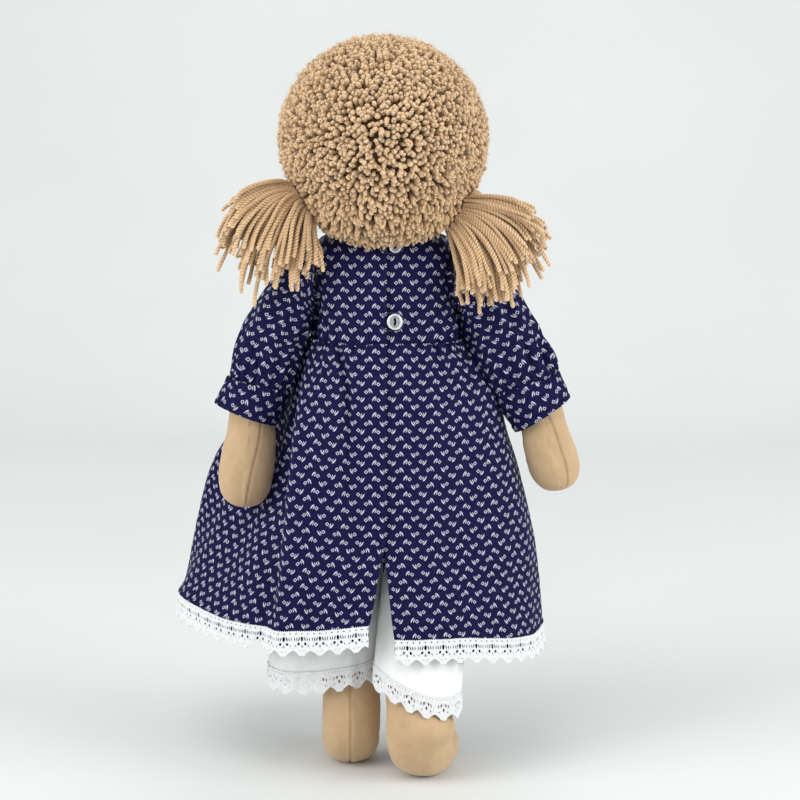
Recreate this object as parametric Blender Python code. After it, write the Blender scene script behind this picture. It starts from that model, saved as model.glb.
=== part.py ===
import math

import bmesh
import bpy
from mathutils import Matrix, Vector

# Standing cloth doll. Millimetres here, metres in the scene. Face to -Y, up is +Z, the doll's left is +X.
MM = 0.001
BODY_X = -5.9  # puts the middle of the whole width on X = 0
BODY_Y = 10.7  # puts the middle of the whole depth on Y = 0
HEAD_Z = 384.0  # centre of the head
HEAD_R = 50.5
PIVOT_Z = 327.0  # the neck nods about this height
BALL_R = 15.5
HAIR_IN, HAIR_OUT = 52.3, 62.8
HAIR_TILT = math.radians(35)  # the hair cap's axis rises this much from +Y
SHOULDER = (45.0, 0.0, 303.0)
HIP_X, HIP_Z = 21.5, 169.0
SKIN = 1.0  # jersey with its seam allowance
GAP = 0.45
CLOTH = 0.9
HEM = {  # height of the fabric hem of each half, from centre back to centre front
    1: [(0, 98.8), (0.03, 98.2), (0.12, 96.2), (0.25, 95.0), (0.41, 95.0), (0.54, 98.0), (0.62, 99.5), (0.8, 98.0), (1, 95.0)],
    -1: [(0, 90.3), (0.15, 90.8), (0.23, 89.9), (0.34, 86.5), (0.44, 84.5), (0.6, 87.0), (1, 95.0)],
}
LACE_DEEP = 14.0
WAIST_Z = 262.4
BUTTON = (-6.4, 31.9, 276.7)
BUTTON_R = 4.65
SEAM = 0.22  # half the gap where two cloth pieces meet

for o in list(bpy.data.objects):
    bpy.data.objects.remove(o, do_unlink=True)


def P(x, y, z):
    return Vector(((x + BODY_X) * MM, (y + BODY_Y) * MM, z * MM))


materials = {}


def material(name, rgb, rough):
    if name not in materials:
        m = bpy.data.materials.new(name)
        m.use_nodes = True
        b = m.node_tree.nodes["Principled BSDF"]
        b.inputs["Base Color"].default_value = (*rgb, 1)
        b.inputs["Roughness"].default_value = rough
        materials[name] = m
    return materials[name]


def add(name, bm, mat, smooth=True):
    me = bpy.data.meshes.new(name)
    bm.to_mesh(me)
    bm.free()
    ob = bpy.data.objects.new(name, me)
    bpy.context.scene.collection.objects.link(ob)
    me.materials.append(mat)
    for p in me.polygons:
        p.use_smooth = smooth
    return ob


def grid(fn, nu, nv, closed=False):
    """A sheet over u and v from 0 to 1, made from a flat grid. Ends that meet are merged."""
    bm = bmesh.new()
    bmesh.ops.create_grid(bm, x_segments=nu, y_segments=nv, size=1.0)
    for v in bm.verts:
        v.co = fn((v.co.x + 1) / 2, (v.co.y + 1) / 2)
    if closed:
        bmesh.ops.remove_doubles(bm, verts=bm.verts, dist=2e-6)
    bmesh.ops.dissolve_degenerate(bm, dist=1e-7, edges=bm.edges)
    bm.normal_update()
    return bm


def face_out(bm, inside):
    """Turns the faces so that most look away from the axis points given by inside(z)."""
    bm.normal_update()
    total = sum(
        f.normal.dot(f.calc_center_median() - inside(f.calc_center_median()))
        * f.calc_area()
        for f in bm.faces
    )
    if total < 0:
        bmesh.ops.reverse_faces(bm, faces=bm.faces)
        bm.normal_update()


def solid_out(bm):
    """Faces of a closed body, turned to the outside."""
    bmesh.ops.recalc_face_normals(bm, faces=bm.faces)
    if bm.calc_volume(signed=True) < 0:
        bmesh.ops.reverse_faces(bm, faces=bm.faces)
    bm.normal_update()


def thicken(ob, thick, offset=-1.0):
    m = ob.modifiers.new("Solidify", "SOLIDIFY")
    m.thickness = thick * MM
    m.offset = offset
    m.use_even_offset = False
    m.use_rim = True
    return ob


def cut(ob, cutter):
    m = ob.modifiers.new("Bore", "BOOLEAN")
    m.operation = "DIFFERENCE"
    m.solver = "EXACT"
    m.object = cutter
    cutter.hide_render = True
    cutter.display_type = "WIRE"


def core_of(bm, inset):
    """The filling inside a skin: the skin's own sheet moved inwards, its open end closed."""
    c = bm.copy()
    c.normal_update()
    for v, n in [(v, v.normal.copy()) for v in c.verts]:
        v.co -= n * inset * MM
    rim = [e for e in c.edges if e.is_boundary]
    bmesh.ops.holes_fill(c, edges=rim, sides=0)
    solid_out(c)
    return c


def smooth_table(rows, v):
    """Catmull-Rom through rows of numbers, v from 0 to 1."""
    t = v * (len(rows) - 1)
    i = min(int(t), len(rows) - 2)
    f = t - i
    if f < 1e-9:
        return rows[i]
    if f > 1 - 1e-9:
        return rows[i + 1]
    a, b, c, d = (rows[max(0, min(len(rows) - 1, i + k))] for k in (-1, 0, 1, 2))
    return tuple(
        0.5
        * (
            2 * q
            + (r - p) * f
            + (2 * p - 5 * q + 4 * r - s) * f * f
            + (3 * q - p - 3 * r + s) * f**3
        )
        for p, q, r, s in zip(a, b, c, d)
    )


def oval(a, b, angle, n=2.0):
    """Angle runs from +Y towards +X."""
    s, c = math.sin(angle), math.cos(angle)
    return (
        math.copysign(a * abs(s) ** (2 / n), s),
        math.copysign(b * abs(c) ** (2 / n), c),
    )


def shell(name, fn, nu, nv, mat, thick, closed=False, centre=None):
    bm = grid(fn, nu, nv, closed)
    mid = centre or (lambda c: P(0, 0, 0) * 1.0 + Vector((0, 0, c.z)))
    face_out(bm, mid)
    return thicken(add(name, bm, mat), thick)


def revolve(name, profile, centre, axis, steps, mat):
    """Turns a profile of (radius, height) about an axis. A profile that starts and ends on the axis gives a solid."""
    bm = bmesh.new()
    turn = Vector((0, 0, 1)).rotation_difference(Vector(axis)).to_matrix()
    vs = [bm.verts.new(Vector((r * MM, 0, h * MM))) for r, h in profile]
    es = [bm.edges.new((a, b)) for a, b in zip(vs, vs[1:])]
    if profile[0][0] > 1e-6 and profile[-1][0] > 1e-6:
        es.append(bm.edges.new((vs[-1], vs[0])))
    bmesh.ops.spin(
        bm,
        geom=vs + es,
        cent=(0, 0, 0),
        axis=(0, 0, 1),
        angle=math.tau,
        steps=steps,
        use_merge=True,
    )
    bmesh.ops.remove_doubles(bm, verts=bm.verts, dist=2e-6)
    bmesh.ops.dissolve_degenerate(bm, dist=1e-7, edges=bm.edges)
    for v in bm.verts:
        v.co = turn @ v.co + P(*centre)
    solid_out(bm)
    return add(name, bm, mat)


def strand(name, points, radius, mat, closed=False, sides=2):
    """A round thread along points."""
    cu = bpy.data.curves.new(name + "_line", "CURVE")
    cu.dimensions = "3D"
    cu.bevel_depth = radius * MM
    cu.bevel_resolution = sides
    cu.use_fill_caps = not closed
    sp = cu.splines.new("POLY")
    sp.points.add(len(points) - 1)
    for q, p in zip(sp.points, points):
        q.co = (*P(*p), 1)
    sp.use_cyclic_u = closed
    tmp = bpy.data.objects.new(name + "_tmp", cu)
    bpy.context.scene.collection.objects.link(tmp)
    bpy.context.view_layer.update()
    me = bpy.data.meshes.new_from_object(
        tmp.evaluated_get(bpy.context.evaluated_depsgraph_get())
    )
    bpy.data.objects.remove(tmp, do_unlink=True)
    bm = bmesh.new()
    bm.from_mesh(me)
    bpy.data.meshes.remove(me)
    bmesh.ops.remove_doubles(bm, verts=bm.verts, dist=2e-6)
    solid_out(bm)
    return add(name, bm, mat)


def ring_band(name, rows, steps, mat, thick, n=2.0):
    """An upright band: rows of (z, half width, half depth)."""

    def at(u, v):
        z, a, b = smooth_table(rows, v)
        x, y = oval(a, b, u * math.tau, n)
        return P(x, y, z)

    return shell(name, at, steps, len(rows) - 1, mat, thick, True)


JERSEY = material("jersey", (0.72, 0.49, 0.32), 0.85)
WOOL = material("wool_filling", (0.86, 0.82, 0.74), 0.95)
NAVY = material("navy_print_cotton", (0.02, 0.02, 0.11), 0.8)
LACE = material("white_lace", (0.85, 0.86, 0.86), 0.8)
COTTON = material("white_cotton", (0.88, 0.89, 0.9), 0.8)
YARN = material("camel_yarn", (0.55, 0.34, 0.19), 0.9)
THREAD = material("cotton_thread", (0.8, 0.76, 0.68), 0.7)
NAVY_THREAD = material("navy_thread", (0.03, 0.03, 0.12), 0.7)
PEARL = material("pearl_button", (0.82, 0.82, 0.8), 0.25)
EYE = material("eye_thread", (0.05, 0.08, 0.2), 0.6)
MOUTH = material("mouth_thread", (0.6, 0.12, 0.12), 0.6)
ELASTIC = material("elastic", (0.9, 0.9, 0.88), 0.7)

# ---------------------------------------------------------------- trunk
TRUNK = [  # z, half width, half depth
    (192.0, 0.0, 0.0),
    (192.0, 24.0, 16.0),
    (193.6, 34.0, 23.5),
    (199.0, 38.5, 26.6),
    (216.0, 40.5, 28.0),
    (240.0, 41.0, 28.0),
    (262.0, 40.0, 27.5),
    (278.0, 37.5, 26.8),
    (290.0, 33.5, 25.6),
    (300.0, 30.8, 24.4),
    (308.0, 29.3, 22.4),
    (314.0, 26.5, 20.4),
    (318.0, 18.4, 18.2),
]


def trunk_at(u, v):
    z, a, b = TRUNK[round(v * (len(TRUNK) - 1))]
    x, y = oval(a, b, u * math.tau)
    return P(x, y, z)


bm = grid(trunk_at, 16, len(TRUNK) - 1, True)
bmesh.ops.triangulate(bm, faces=bm.faces)
face_out(bm, lambda c: Vector((P(0, 0, 0).x, P(0, 0, 0).y, min(max(c.z, 0.21), 0.3))))
core = core_of(bm, SKIN + GAP)
for v in core.verts:
    v.co.z = min(v.co.z, 0.3074)
bmesh.ops.remove_doubles(core, verts=core.verts, dist=2e-6)
thicken(add("torso_skin", bm, JERSEY), SKIN)
add("torso_stuffing", core, WOOL)

# neck plug with a hollow top, so that the round foot of the head can nod in it
cup = [(0.0, 308.0), (14.5, 308.0), (16.2, 310.0), (16.2, 322.0)]
cup += [
    (16.0 * math.cos(t), PIVOT_Z + 16.0 * math.sin(t))
    for t in [math.radians(a) for a in (-18.2, -32, -48, -64, -78)]
]
cup += [(0.0, PIVOT_Z - 16.0)]
revolve("neck_core", cup, (0, 0, 0), (0, 0, 1), 18, JERSEY)
strand(
    "neck_thread",
    [
        (17.15 * math.sin(t), 17.15 * math.cos(t), 319.9)
        for t in [math.tau * i / 16 for i in range(16)]
    ],
    0.5,
    THREAD,
    closed=True,
    sides=1,
)

# ---------------------------------------------------------------- head
head_profile = [(5.0, 312.33), (10.0, 315.16), (13.7, 319.75), (15.3, 324.5)]
head_profile += [(15.4, 329.0), (15.3, 333.0), (17.2, 336.0), (23.0, 339.0)]
head_profile += [
    (HEAD_R * math.sin(t), HEAD_Z - HEAD_R * math.cos(t))
    for t in [math.radians(a) for a in range(40, 176, 15)]
]
head_profile += [(0.0, HEAD_Z + HEAD_R)]
rows = len(head_profile) - 1


def head_at(u, v):
    r, z = head_profile[round(v * rows)]
    x, y = oval(r, r, u * math.tau)
    # a small rise for the nose
    d = math.hypot(x / 5.5, (z - 377) / 5.5)
    if y < 0 and d < 1.6:
        y -= 1.6 * math.exp(-d * d)
    return P(x, y, z)


bm = grid(head_at, 18, rows, True)
bmesh.ops.triangulate(bm, faces=bm.faces)
face_out(
    bm,
    lambda c: Vector((P(0, 0, 0).x, P(0, 0, 0).y, HEAD_Z * MM if c.z > 0.335 else c.z)),
)
add("head_stuffing", core_of(bm, SKIN + GAP), WOOL)
thicken(add("head_skin", bm, JERSEY), SKIN)


def on_head(name, x, z, half, mat):
    """A pad of stitches lying on the face."""
    y = -math.sqrt((HEAD_R + 0.85) ** 2 - x * x - (z - HEAD_Z) ** 2)
    way = Vector((x, y, z - HEAD_Z)).normalized()
    turn = Vector((0, 0, 1)).rotation_difference(way).to_matrix()
    bm = bmesh.new()
    bmesh.ops.create_uvsphere(bm, u_segments=12, v_segments=6, radius=MM)
    # sideways on the face is X, up and down is the remaining direction
    side = Vector((1, 0, 0)) - way * way.x
    side.normalize()
    up = way.cross(side)
    m = Matrix((side * half[0], up * half[1], way * 0.45)).transposed()
    for v in bm.verts:
        v.co = m @ v.co + P(x, y, z)
    solid_out(bm)
    return add(name, bm, mat)


on_head("eye_left", 15.5, 384.0, (2.6, 1.9), EYE)
on_head("eye_right", -15.5, 384.0, (2.6, 1.9), EYE)
on_head("mouth", 0.0, 364.5, (4.2, 1.1), MOUTH)

hair = [(0.0, HAIR_OUT)]
hair += [
    (HAIR_OUT * math.sin(t), HAIR_OUT * math.cos(t))
    for t in [math.radians(a) for a in (16, 32, 48, 64, 78, 90)]
]
hair += [(59.5 * math.sin(math.radians(95)), 59.5 * math.cos(math.radians(95)))]
hair += [
    (HAIR_IN * math.sin(t), HAIR_IN * math.cos(t))
    for t in [math.radians(a) for a in (95, 80, 64, 48, 32, 16)]
]
hair += [(0.0, HAIR_IN)]
revolve(
    "hair_pile",
    hair,
    (0, 0, HEAD_Z),
    (0, math.cos(HAIR_TILT), math.sin(HAIR_TILT)),
    20,
    YARN,
)

# ---------------------------------------------------------------- pigtails
PIG_ROOT = (52.5, 15.5, 349.5)
PIG = {  # offset along the way out: centre x, y, z, half width, half depth, then the way across in x and z
    1: [
        (58.3, 20.8, 344.6, 6.4, 5.6, 0.86, 0.51),
        (61.0, 24.5, 341.5, 12.0, 7.0, 0.88, 0.47),
        (65.5, 29.5, 334.0, 20.0, 7.4, 0.92, 0.39),
        (69.0, 33.0, 322.0, 27.0, 7.6, 0.95, 0.31),
        (70.5, 33.5, 310.0, 26.0, 7.4, 0.97, 0.24),
        (71.0, 33.5, 299.0, 18.0, 6.0, 0.98, 0.2),
        (71.0, 33.5, 291.0, 8.0, 3.5, 0.98, 0.2),
    ],
    -1: [
        (58.6, 20.8, 345.0, 6.4, 5.6, 0.8, 0.6),
        (62.0, 24.5, 342.5, 12.5, 7.0, 0.82, 0.57),
        (68.0, 29.5, 335.5, 21.0, 7.4, 0.86, 0.51),
        (72.5, 33.0, 323.0, 27.5, 7.6, 0.88, 0.47),
        (74.0, 33.5, 309.0, 26.0, 7.4, 0.92, 0.39),
        (73.0, 33.5, 296.0, 18.0, 6.0, 0.95, 0.31),
        (70.0, 33.5, 286.0, 9.0, 3.5, 0.97, 0.24),
    ],
}


def pigtail(name, side):
    rows = PIG[side]
    rows = [(*rows[0][:3], 0.0, 0.0, *rows[0][5:])] + rows
    rows += [(*rows[-1][:3], 0.0, 0.0, *rows[-1][5:])]

    def at(u, v):
        x, y, z, w, d, ax, az = rows[round(v * (len(rows) - 1))]
        p, q = oval(w, d, u * math.tau, 2.3)
        return P(side * (x + p * ax), y + q, z + p * az)

    bm = grid(at, 14, len(rows) - 1, True)
    solid_out(bm)
    return add(name, bm, YARN)


def hair_tie(name, side):
    out = Vector((side * 0.72, 0.42, -0.55)).normalized()
    c = Vector((side * PIG_ROOT[0], PIG_ROOT[1] + 0.4, PIG_ROOT[2] - 1.2)) + out * 0.2
    # a stubby band of wound yarn between the head and the loose strands
    prof = [(0.0, -1.9), (4.2, -1.9), (5.0, -1.0), (5.0, 2.7), (4.2, 3.6), (0.0, 3.6)]
    return revolve(name, prof, tuple(c), tuple(out), 14, YARN)


for side, word in ((1, "left"), (-1, "right")):
    pigtail("pigtail_" + word, side)
    hair_tie("hair_tie_" + word, side)

# ---------------------------------------------------------------- arms
ARM = {  # x, z on the middle line, half width, half depth; y
    1: [
        (61.6, 278.0, 11.2, 12.0, 0.5),
        (70.0, 260.0, 13.2, 12.6, 1.5),
        (76.0, 240.0, 13.4, 12.4, 3.0),
        (80.0, 220.0, 13.4, 12.0, 4.0),
        (81.5, 207.0, 13.8, 11.6, 4.5),
        (83.5, 194.0, 15.0, 11.4, 5.0),
        (85.3, 182.0, 15.4, 11.2, 5.0),
        (86.0, 173.0, 14.6, 10.6, 5.0),
        (86.2, 166.0, 11.8, 8.8, 5.0),
        (86.3, 161.6, 7.2, 5.6, 5.0),
        (86.3, 159.6, 0.0, 0.0, 5.0),
    ],
    -1: [
        (66.0, 281.5, 11.6, 12.2, 0.5),
        (78.0, 263.0, 13.0, 12.6, 1.5),
        (87.0, 242.0, 13.4, 12.4, 3.0),
        (93.5, 222.0, 13.4, 12.0, 4.0),
        (96.7, 209.0, 13.8, 11.6, 4.5),
        (99.8, 197.0, 15.2, 11.4, 5.0),
        (102.6, 188.0, 15.6, 11.2, 5.0),
        (104.8, 181.0, 14.4, 10.4, 5.0),
        (106.4, 175.4, 11.4, 8.6, 5.0),
        (107.4, 172.0, 7.0, 5.4, 5.0),
        (107.8, 170.2, 0.0, 0.0, 5.0),
    ],
}
ARM_TOP_R = 10.2


def limb_rows(points, top, top_way, top_r, top_open=22.0):
    """Rows of (centre, way along, half width, half depth), starting with a round top about the joint."""
    out = []
    for a in (top_open, 45.0, 68.0, 90.0):
        t = math.radians(a)
        out.append(
            (
                top - top_way * top_r[0] * math.cos(t),
                top_way,
                top_r[0] * math.sin(t),
                top_r[1] * math.sin(t),
            )
        )
    pts = [Vector((x, y, z)) for x, z, _, _, y in points]
    line = [top] + pts
    for i, (x, z, w, d, y) in enumerate(points):
        way = line[min(i + 2, len(line) - 1)] - line[i]
        out.append((Vector((x, y, z)), way.normalized(), w, d))
    return out


def limb_shell(rows, side, across, segments):
    def at(u, v):
        c, way, w, d = rows[round(v * (len(rows) - 1))]
        n = across.cross(way).normalized()
        p, q = oval(w, d, u * math.tau)
        r = c + n * p + across * q
        return P(side * r.x, r.y, r.z)

    bm = grid(at, segments, len(rows) - 1, True)
    bmesh.ops.triangulate(bm, faces=bm.faces)
    bmesh.ops.recalc_face_normals(bm, faces=bm.faces)
    bm.normal_update()
    # the open end can leave the faces turned in
    mid = P(side * rows[5][0].x, rows[5][0].y, rows[5][0].z)
    near = min(bm.faces, key=lambda f: (f.calc_center_median() - mid).length)
    if near.normal.dot(near.calc_center_median() - mid) < 0:
        bmesh.ops.reverse_faces(bm, faces=bm.faces)
        bm.normal_update()
    return bm


def bore(name, a, b, radius):
    """A round cutter from a to b."""
    bm = bmesh.new()
    a, b = Vector(a), Vector(b)
    way = b - a
    turn = Vector((0, 0, 1)).rotation_difference(way).to_matrix().to_4x4()
    bmesh.ops.create_cone(
        bm,
        cap_ends=True,
        segments=10,
        radius1=radius * MM,
        radius2=radius * MM,
        depth=way.length * MM,
        matrix=Matrix.Translation(P(*((a + b) / 2))) @ turn,
    )
    return add(name, bm, THREAD, smooth=False)


cutters = []
for side, word in ((1, "left"), (-1, "right")):
    top = Vector(SHOULDER)
    first = Vector((ARM[side][0][0], ARM[side][0][4], ARM[side][0][1]))
    way = (first - top).normalized()
    rows = limb_rows(ARM[side], top, way, (ARM_TOP_R, 12.0))
    bm = limb_shell(rows, side, Vector((0, 1, 0)), 12)
    core = core_of(bm, SKIN + GAP)
    skin = thicken(add("arm_skin_" + word, bm, JERSEY), SKIN)
    fill = add("arm_stuffing_" + word, core, WOOL)
    x, _, z = SHOULDER
    c = bore("shoulder_bore_" + word, (side * x, -16, z), (side * x, 16, z), 1.1)
    cutters.append(c)
    cut(skin, c)
    cut(fill, c)
    strand(
        "shoulder_thread_" + word,
        [
            (side * 28.9, -14.2, z),
            (side * x, -14.2, z),
            (side * x, 14.2, z),
            (side * 28.9, 14.2, z),
        ],
        0.6,
        THREAD,
        sides=1,
    )

# ---------------------------------------------------------------- legs
ANKLE_Z = 32.6
LEGS = {  # ankle y, foot turned outwards, ankle x
    1: (19.0, 3.0, 20.5),
    -1: (43.5, 20.0, 18.6),
}
for side, word in ((1, "left"), (-1, "right")):
    ankle_y, yaw, ankle_x = LEGS[side]
    wide = 0.0 if side > 0 else 0.6
    top = Vector((HIP_X, 0, HIP_Z))
    ankle = Vector((ankle_x, ankle_y, ANKLE_Z))
    down = (ankle - top).normalized()
    yaw = math.radians(yaw)
    front = Vector((math.sin(yaw), -math.cos(yaw), 0))
    straight = Vector((0, -1, 0))
    rows = []
    for a in (20.0, 42.0, 66.0, 90.0):
        t = math.radians(a)
        r = 18.4
        rows.append((top - down * r * math.cos(t), down, r * math.sin(t), straight))
    rows = [(c, w, (r, r), f) for c, w, r, f in rows]
    for share, r in ((0.3, 18.6), (0.6, 18.2), (0.85, 17.8)):
        f = straight.lerp(front, share).normalized()
        rows.append((top.lerp(ankle, share), down, (r, r), f))
    bend = 20.0
    for a in (-9, 10, 28, 47, 69, 90):
        t = math.radians(a)
        c = ankle + front * bend * (1 - math.cos(t))
        c.z = ANKLE_Z - bend * math.sin(t)
        w = Vector((0, 0, -1)) * math.cos(t) + front * math.sin(t)
        rows.append((c, w, (17.6 + wide * a / 90, 17.4 - 2.2 * a / 90), front))
    foot = ankle + front * bend
    foot.z = ANKLE_Z - bend
    for f, w, h in (
        (8.0, 17.2 + wide, 15.1),
        (15.0, 15.6 + wide * 0.5, 14.5),
        (20.5, 12.2, 11.4),
        (24.2, 7.0, 6.8),
        (25.6, 0.0, 0.0),
    ):
        c = foot + front * f
        c.z = ANKLE_Z - bend - (15.2 - h) * 0.35
        rows.append((c, front, (w, h), front))

    def at(u, v, rows=rows, side=side):
        c, way, (w, d), f = rows[round(v * (len(rows) - 1))]
        sideways = way.cross(f if abs(way.dot(f)) < 0.9 else Vector((0, 0, 1)))
        sideways.normalize()
        if sideways.x < 0:
            sideways.negate()
        n = sideways.cross(way).normalized()
        p, q = oval(w, d, u * math.tau)
        if n.dot(f) < 0 or (abs(way.dot(f)) > 0.9 and n.z > 0):
            q = q
        r = c + sideways * p + n * q
        return P(side * r.x, r.y, max(r.z, 0.0))

    bm = grid(at, 14, len(rows) - 1, True)
    bmesh.ops.triangulate(bm, faces=bm.faces)
    bmesh.ops.recalc_face_normals(bm, faces=bm.faces)
    mid = rows[5][0]
    mid = P(side * mid.x, mid.y, mid.z)
    near = min(bm.faces, key=lambda f: (f.calc_center_median() - mid).length)
    if near.normal.dot(near.calc_center_median() - mid) < 0:
        bmesh.ops.reverse_faces(bm, faces=bm.faces)
    bm.normal_update()
    core = core_of(bm, SKIN + GAP)
    skin = thicken(add("leg_skin_" + word, bm, JERSEY), SKIN)
    fill = add("leg_stuffing_" + word, core, WOOL)
    lo, hi = HIP_X - 22, HIP_X + 22
    c = bore("hip_bore_" + word, (side * lo, 0, HIP_Z), (side * hi, 0, HIP_Z), 1.1)
    cutters.append(c)
    cut(skin, c)
    cut(fill, c)
    strand(
        "hip_thread_" + word,
        [
            (side * 1.35, 0, 191.6),
            (side * 1.35, 0, HIP_Z),
            (side * 41.3, 0, HIP_Z),
            (side * 41.3, 0, 193.5),
        ],
        0.55,
        THREAD,
        sides=1,
    )

# ---------------------------------------------------------------- bodice
BODICE = [  # z, half width, half depth, squareness
    (263.0, 45.0, 31.0, 2.2),
    (270.0, 44.2, 30.8, 2.3),
    (276.0, 43.4, 30.6, 2.4),
    (281.0, 43.0, 30.4, 2.6),
    (284.5, 42.9, 30.2, 2.8),
    (289.0, 42.8, 29.8, 3.0),
    (296.0, 42.7, 29.0, 3.3),
    (303.0, 42.6, 28.0, 3.4),
    (310.0, 42.5, 26.5, 3.4),
    (316.5, 42.0, 24.6, 3.2),
    (320.5, 41.0, 23.0, 3.0),
    (323.0, 39.0, 22.0, 2.8),
    (325.5, 34.5, 21.3, 2.5),
    (328.0, 27.5, 20.5, 2.2),
]


def side_end(z, b, n):
    hole = 17.4 * math.sqrt(max(0.0, 1 - ((z - 302.2) / 19.4) ** 2))
    y = SEAM + hole
    return math.acos(min(1.0, (y / b) ** (n / 2)))


def panel(front, side):
    def at(u, v):
        z, a, b, n = BODICE[round(v * (len(BODICE) - 1))]
        end = side_end(z, b, n)
        if front:
            ang = math.pi - end + u * 2 * end
        else:
            edge = math.asin(min(1.0, (SEAM / a) ** (n / 2)))
            ang = edge + u * (end - edge)
            ang *= side
        x, y = oval(a, b, ang, n)
        return P(x, y, z)

    return at


n_rows = len(BODICE) - 1
shell("bodice_front", panel(True, 1), 12, n_rows, NAVY, CLOTH)
shell("bodice_back_left", panel(False, 1), 6, n_rows, NAVY, CLOTH)
shell("bodice_back_right", panel(False, -1), 6, n_rows, NAVY, CLOTH)
ring_band(
    "neck_lace", [(328.5, 27.2, 20.4), (331.0, 28.2, 21.2)], 22, LACE, 0.7, n=2.2
)

# ---------------------------------------------------------------- buttons and loops


def button(name, centre, r, thick, slot):
    """A disc with a lens-shaped slot right through it, its axis along Y."""
    bm = bmesh.new()
    n = 12
    rows = []
    for y, k in ((-thick / 2, 0.93), (-thick / 4, 1.0), (thick / 4, 1.0)):
        rows.append((y, r * k, None))
    rows.append((thick / 2, r * 0.9, None))
    cx, cy, cz = centre
    loops = []
    for y, rr, _ in rows:
        loops.append((y, rr, rr))
    loops += [(thick / 2, *slot), (-thick / 2, *slot)]
    rings = [
        [
            bm.verts.new(
                P(
                    cx + w * math.sin(math.tau * i / n),
                    cy + y,
                    cz + h * math.cos(math.tau * i / n),
                )
            )
            for i in range(n)
        ]
        for y, w, h in loops
    ]
    for a, b in zip(rings, rings[1:] + rings[:1]):
        for i in range(n):
            j = (i + 1) % n
            bm.faces.new((a[i], a[j], b[j]))
            bm.faces.new((a[i], b[j], b[i]))
    solid_out(bm)
    return add(name, bm, PEARL)


button("back_button", BUTTON, BUTTON_R, 1.8, (0.75, 2.6))
UPPER = (-6.6, 25.9, 320.4)
button("neck_button", UPPER, 3.7, 1.7, (0.7, 2.0))


def fastening(name, centre, r, y0):
    """A thread loop from the left panel round the button."""
    cx, cy, cz = centre
    pts = [(1.6, y0, cz + r)]
    for i in range(9):
        t = math.radians(90 + 22.5 * i)
        pts.append((cx + r * math.cos(t), cy, cz + r * math.sin(t)))
    pts.append((1.6, y0, cz - r))
    return strand(name, pts, 0.35, NAVY_THREAD, sides=1)


fastening("button_loop_lower", BUTTON, 5.5, 31.9)
fastening("button_loop_upper", UPPER, 4.4, 25.9)

# ---------------------------------------------------------------- sleeves and cuffs
SLEEVE = {  # outer x, z, inner x, z, half depth, y
    1: [
        (43.6, 321.5, 43.6, 283.5, 17.0, 0.0),
        (52.0, 317.5, 43.9, 281.0, 17.8, 0.0),
        (60.0, 309.0, 44.4, 278.0, 18.2, 0.0),
        (67.5, 297.0, 45.3, 273.0, 18.6, 0.0),
        (77.0, 283.5, 46.8, 266.5, 18.8, 0.5),
        (86.0, 272.0, 48.6, 259.5, 19.0, 1.0),
        (92.0, 261.0, 50.8, 251.0, 18.6, 2.0),
        (95.3, 250.5, 53.3, 242.0, 17.4, 3.0),
        (95.6, 240.6, 57.0, 232.4, 15.6, 3.4),
    ],
    -1: [
        (43.6, 321.5, 43.6, 283.5, 17.0, 0.0),
        (53.0, 318.0, 47.0, 281.8, 17.8, 0.0),
        (63.0, 311.0, 50.2, 279.3, 18.2, 0.0),
        (72.0, 301.0, 52.6, 275.5, 18.6, 0.0),
        (82.0, 289.0, 54.4, 269.5, 18.8, 0.5),
        (91.0, 276.5, 55.8, 262.0, 19.0, 1.0),
        (98.0, 265.0, 57.5, 252.0, 18.6, 2.0),
        (103.0, 254.0, 60.8, 242.0, 17.4, 3.0),
        (106.5, 243.5, 66.0, 230.7, 15.6, 3.4),
    ],
}
CUFF = {
    1: [
        (95.8, 239.2, 57.4, 231.0, 15.2, 3.4),
        (99.5, 230.5, 61.5, 219.5, 15.4, 4.0),
        (102.0, 222.0, 66.0, 208.5, 15.6, 4.2),
    ],
    -1: [
        (106.9, 242.1, 66.6, 229.3, 15.2, 3.4),
        (110.5, 234.5, 73.0, 217.4, 15.4, 4.0),
        (112.8, 227.5, 79.5, 206.5, 15.6, 4.2),
    ],
}


def cloth_tube(name, rows, side, mat, n=2.1, segments=14):
    def at(u, v):
        ox, oz, ix, iz, b, y = rows[round(v * (len(rows) - 1))]
        p, q = oval(1.0, b, u * math.tau, n)
        cx, cz = (ox + ix) / 2, (oz + iz) / 2
        hx, hz = (ox - ix) / 2, (oz - iz) / 2
        return P(side * (cx + hx * p), y + q, cz + hz * p)

    bm = grid(at, segments, len(rows) - 1, True)
    bmesh.ops.recalc_face_normals(bm, faces=bm.faces)
    bm.normal_update()
    r = rows[len(rows) // 2]
    mid = P(side * (r[0] + r[2]) / 2, r[5], (r[1] + r[3]) / 2)
    near = min(bm.faces, key=lambda f: (f.calc_center_median() - mid).length)
    if near.normal.dot(near.calc_center_median() - mid) < 0:
        bmesh.ops.reverse_faces(bm, faces=bm.faces)
        bm.normal_update()
    return thicken(add(name, bm, mat), CLOTH)


for side, word in ((1, "left"), (-1, "right")):
    cloth_tube("sleeve_" + word, SLEEVE[side], side, NAVY)
    cloth_tube("cuff_" + word, CUFF[side], side, NAVY)

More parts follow.
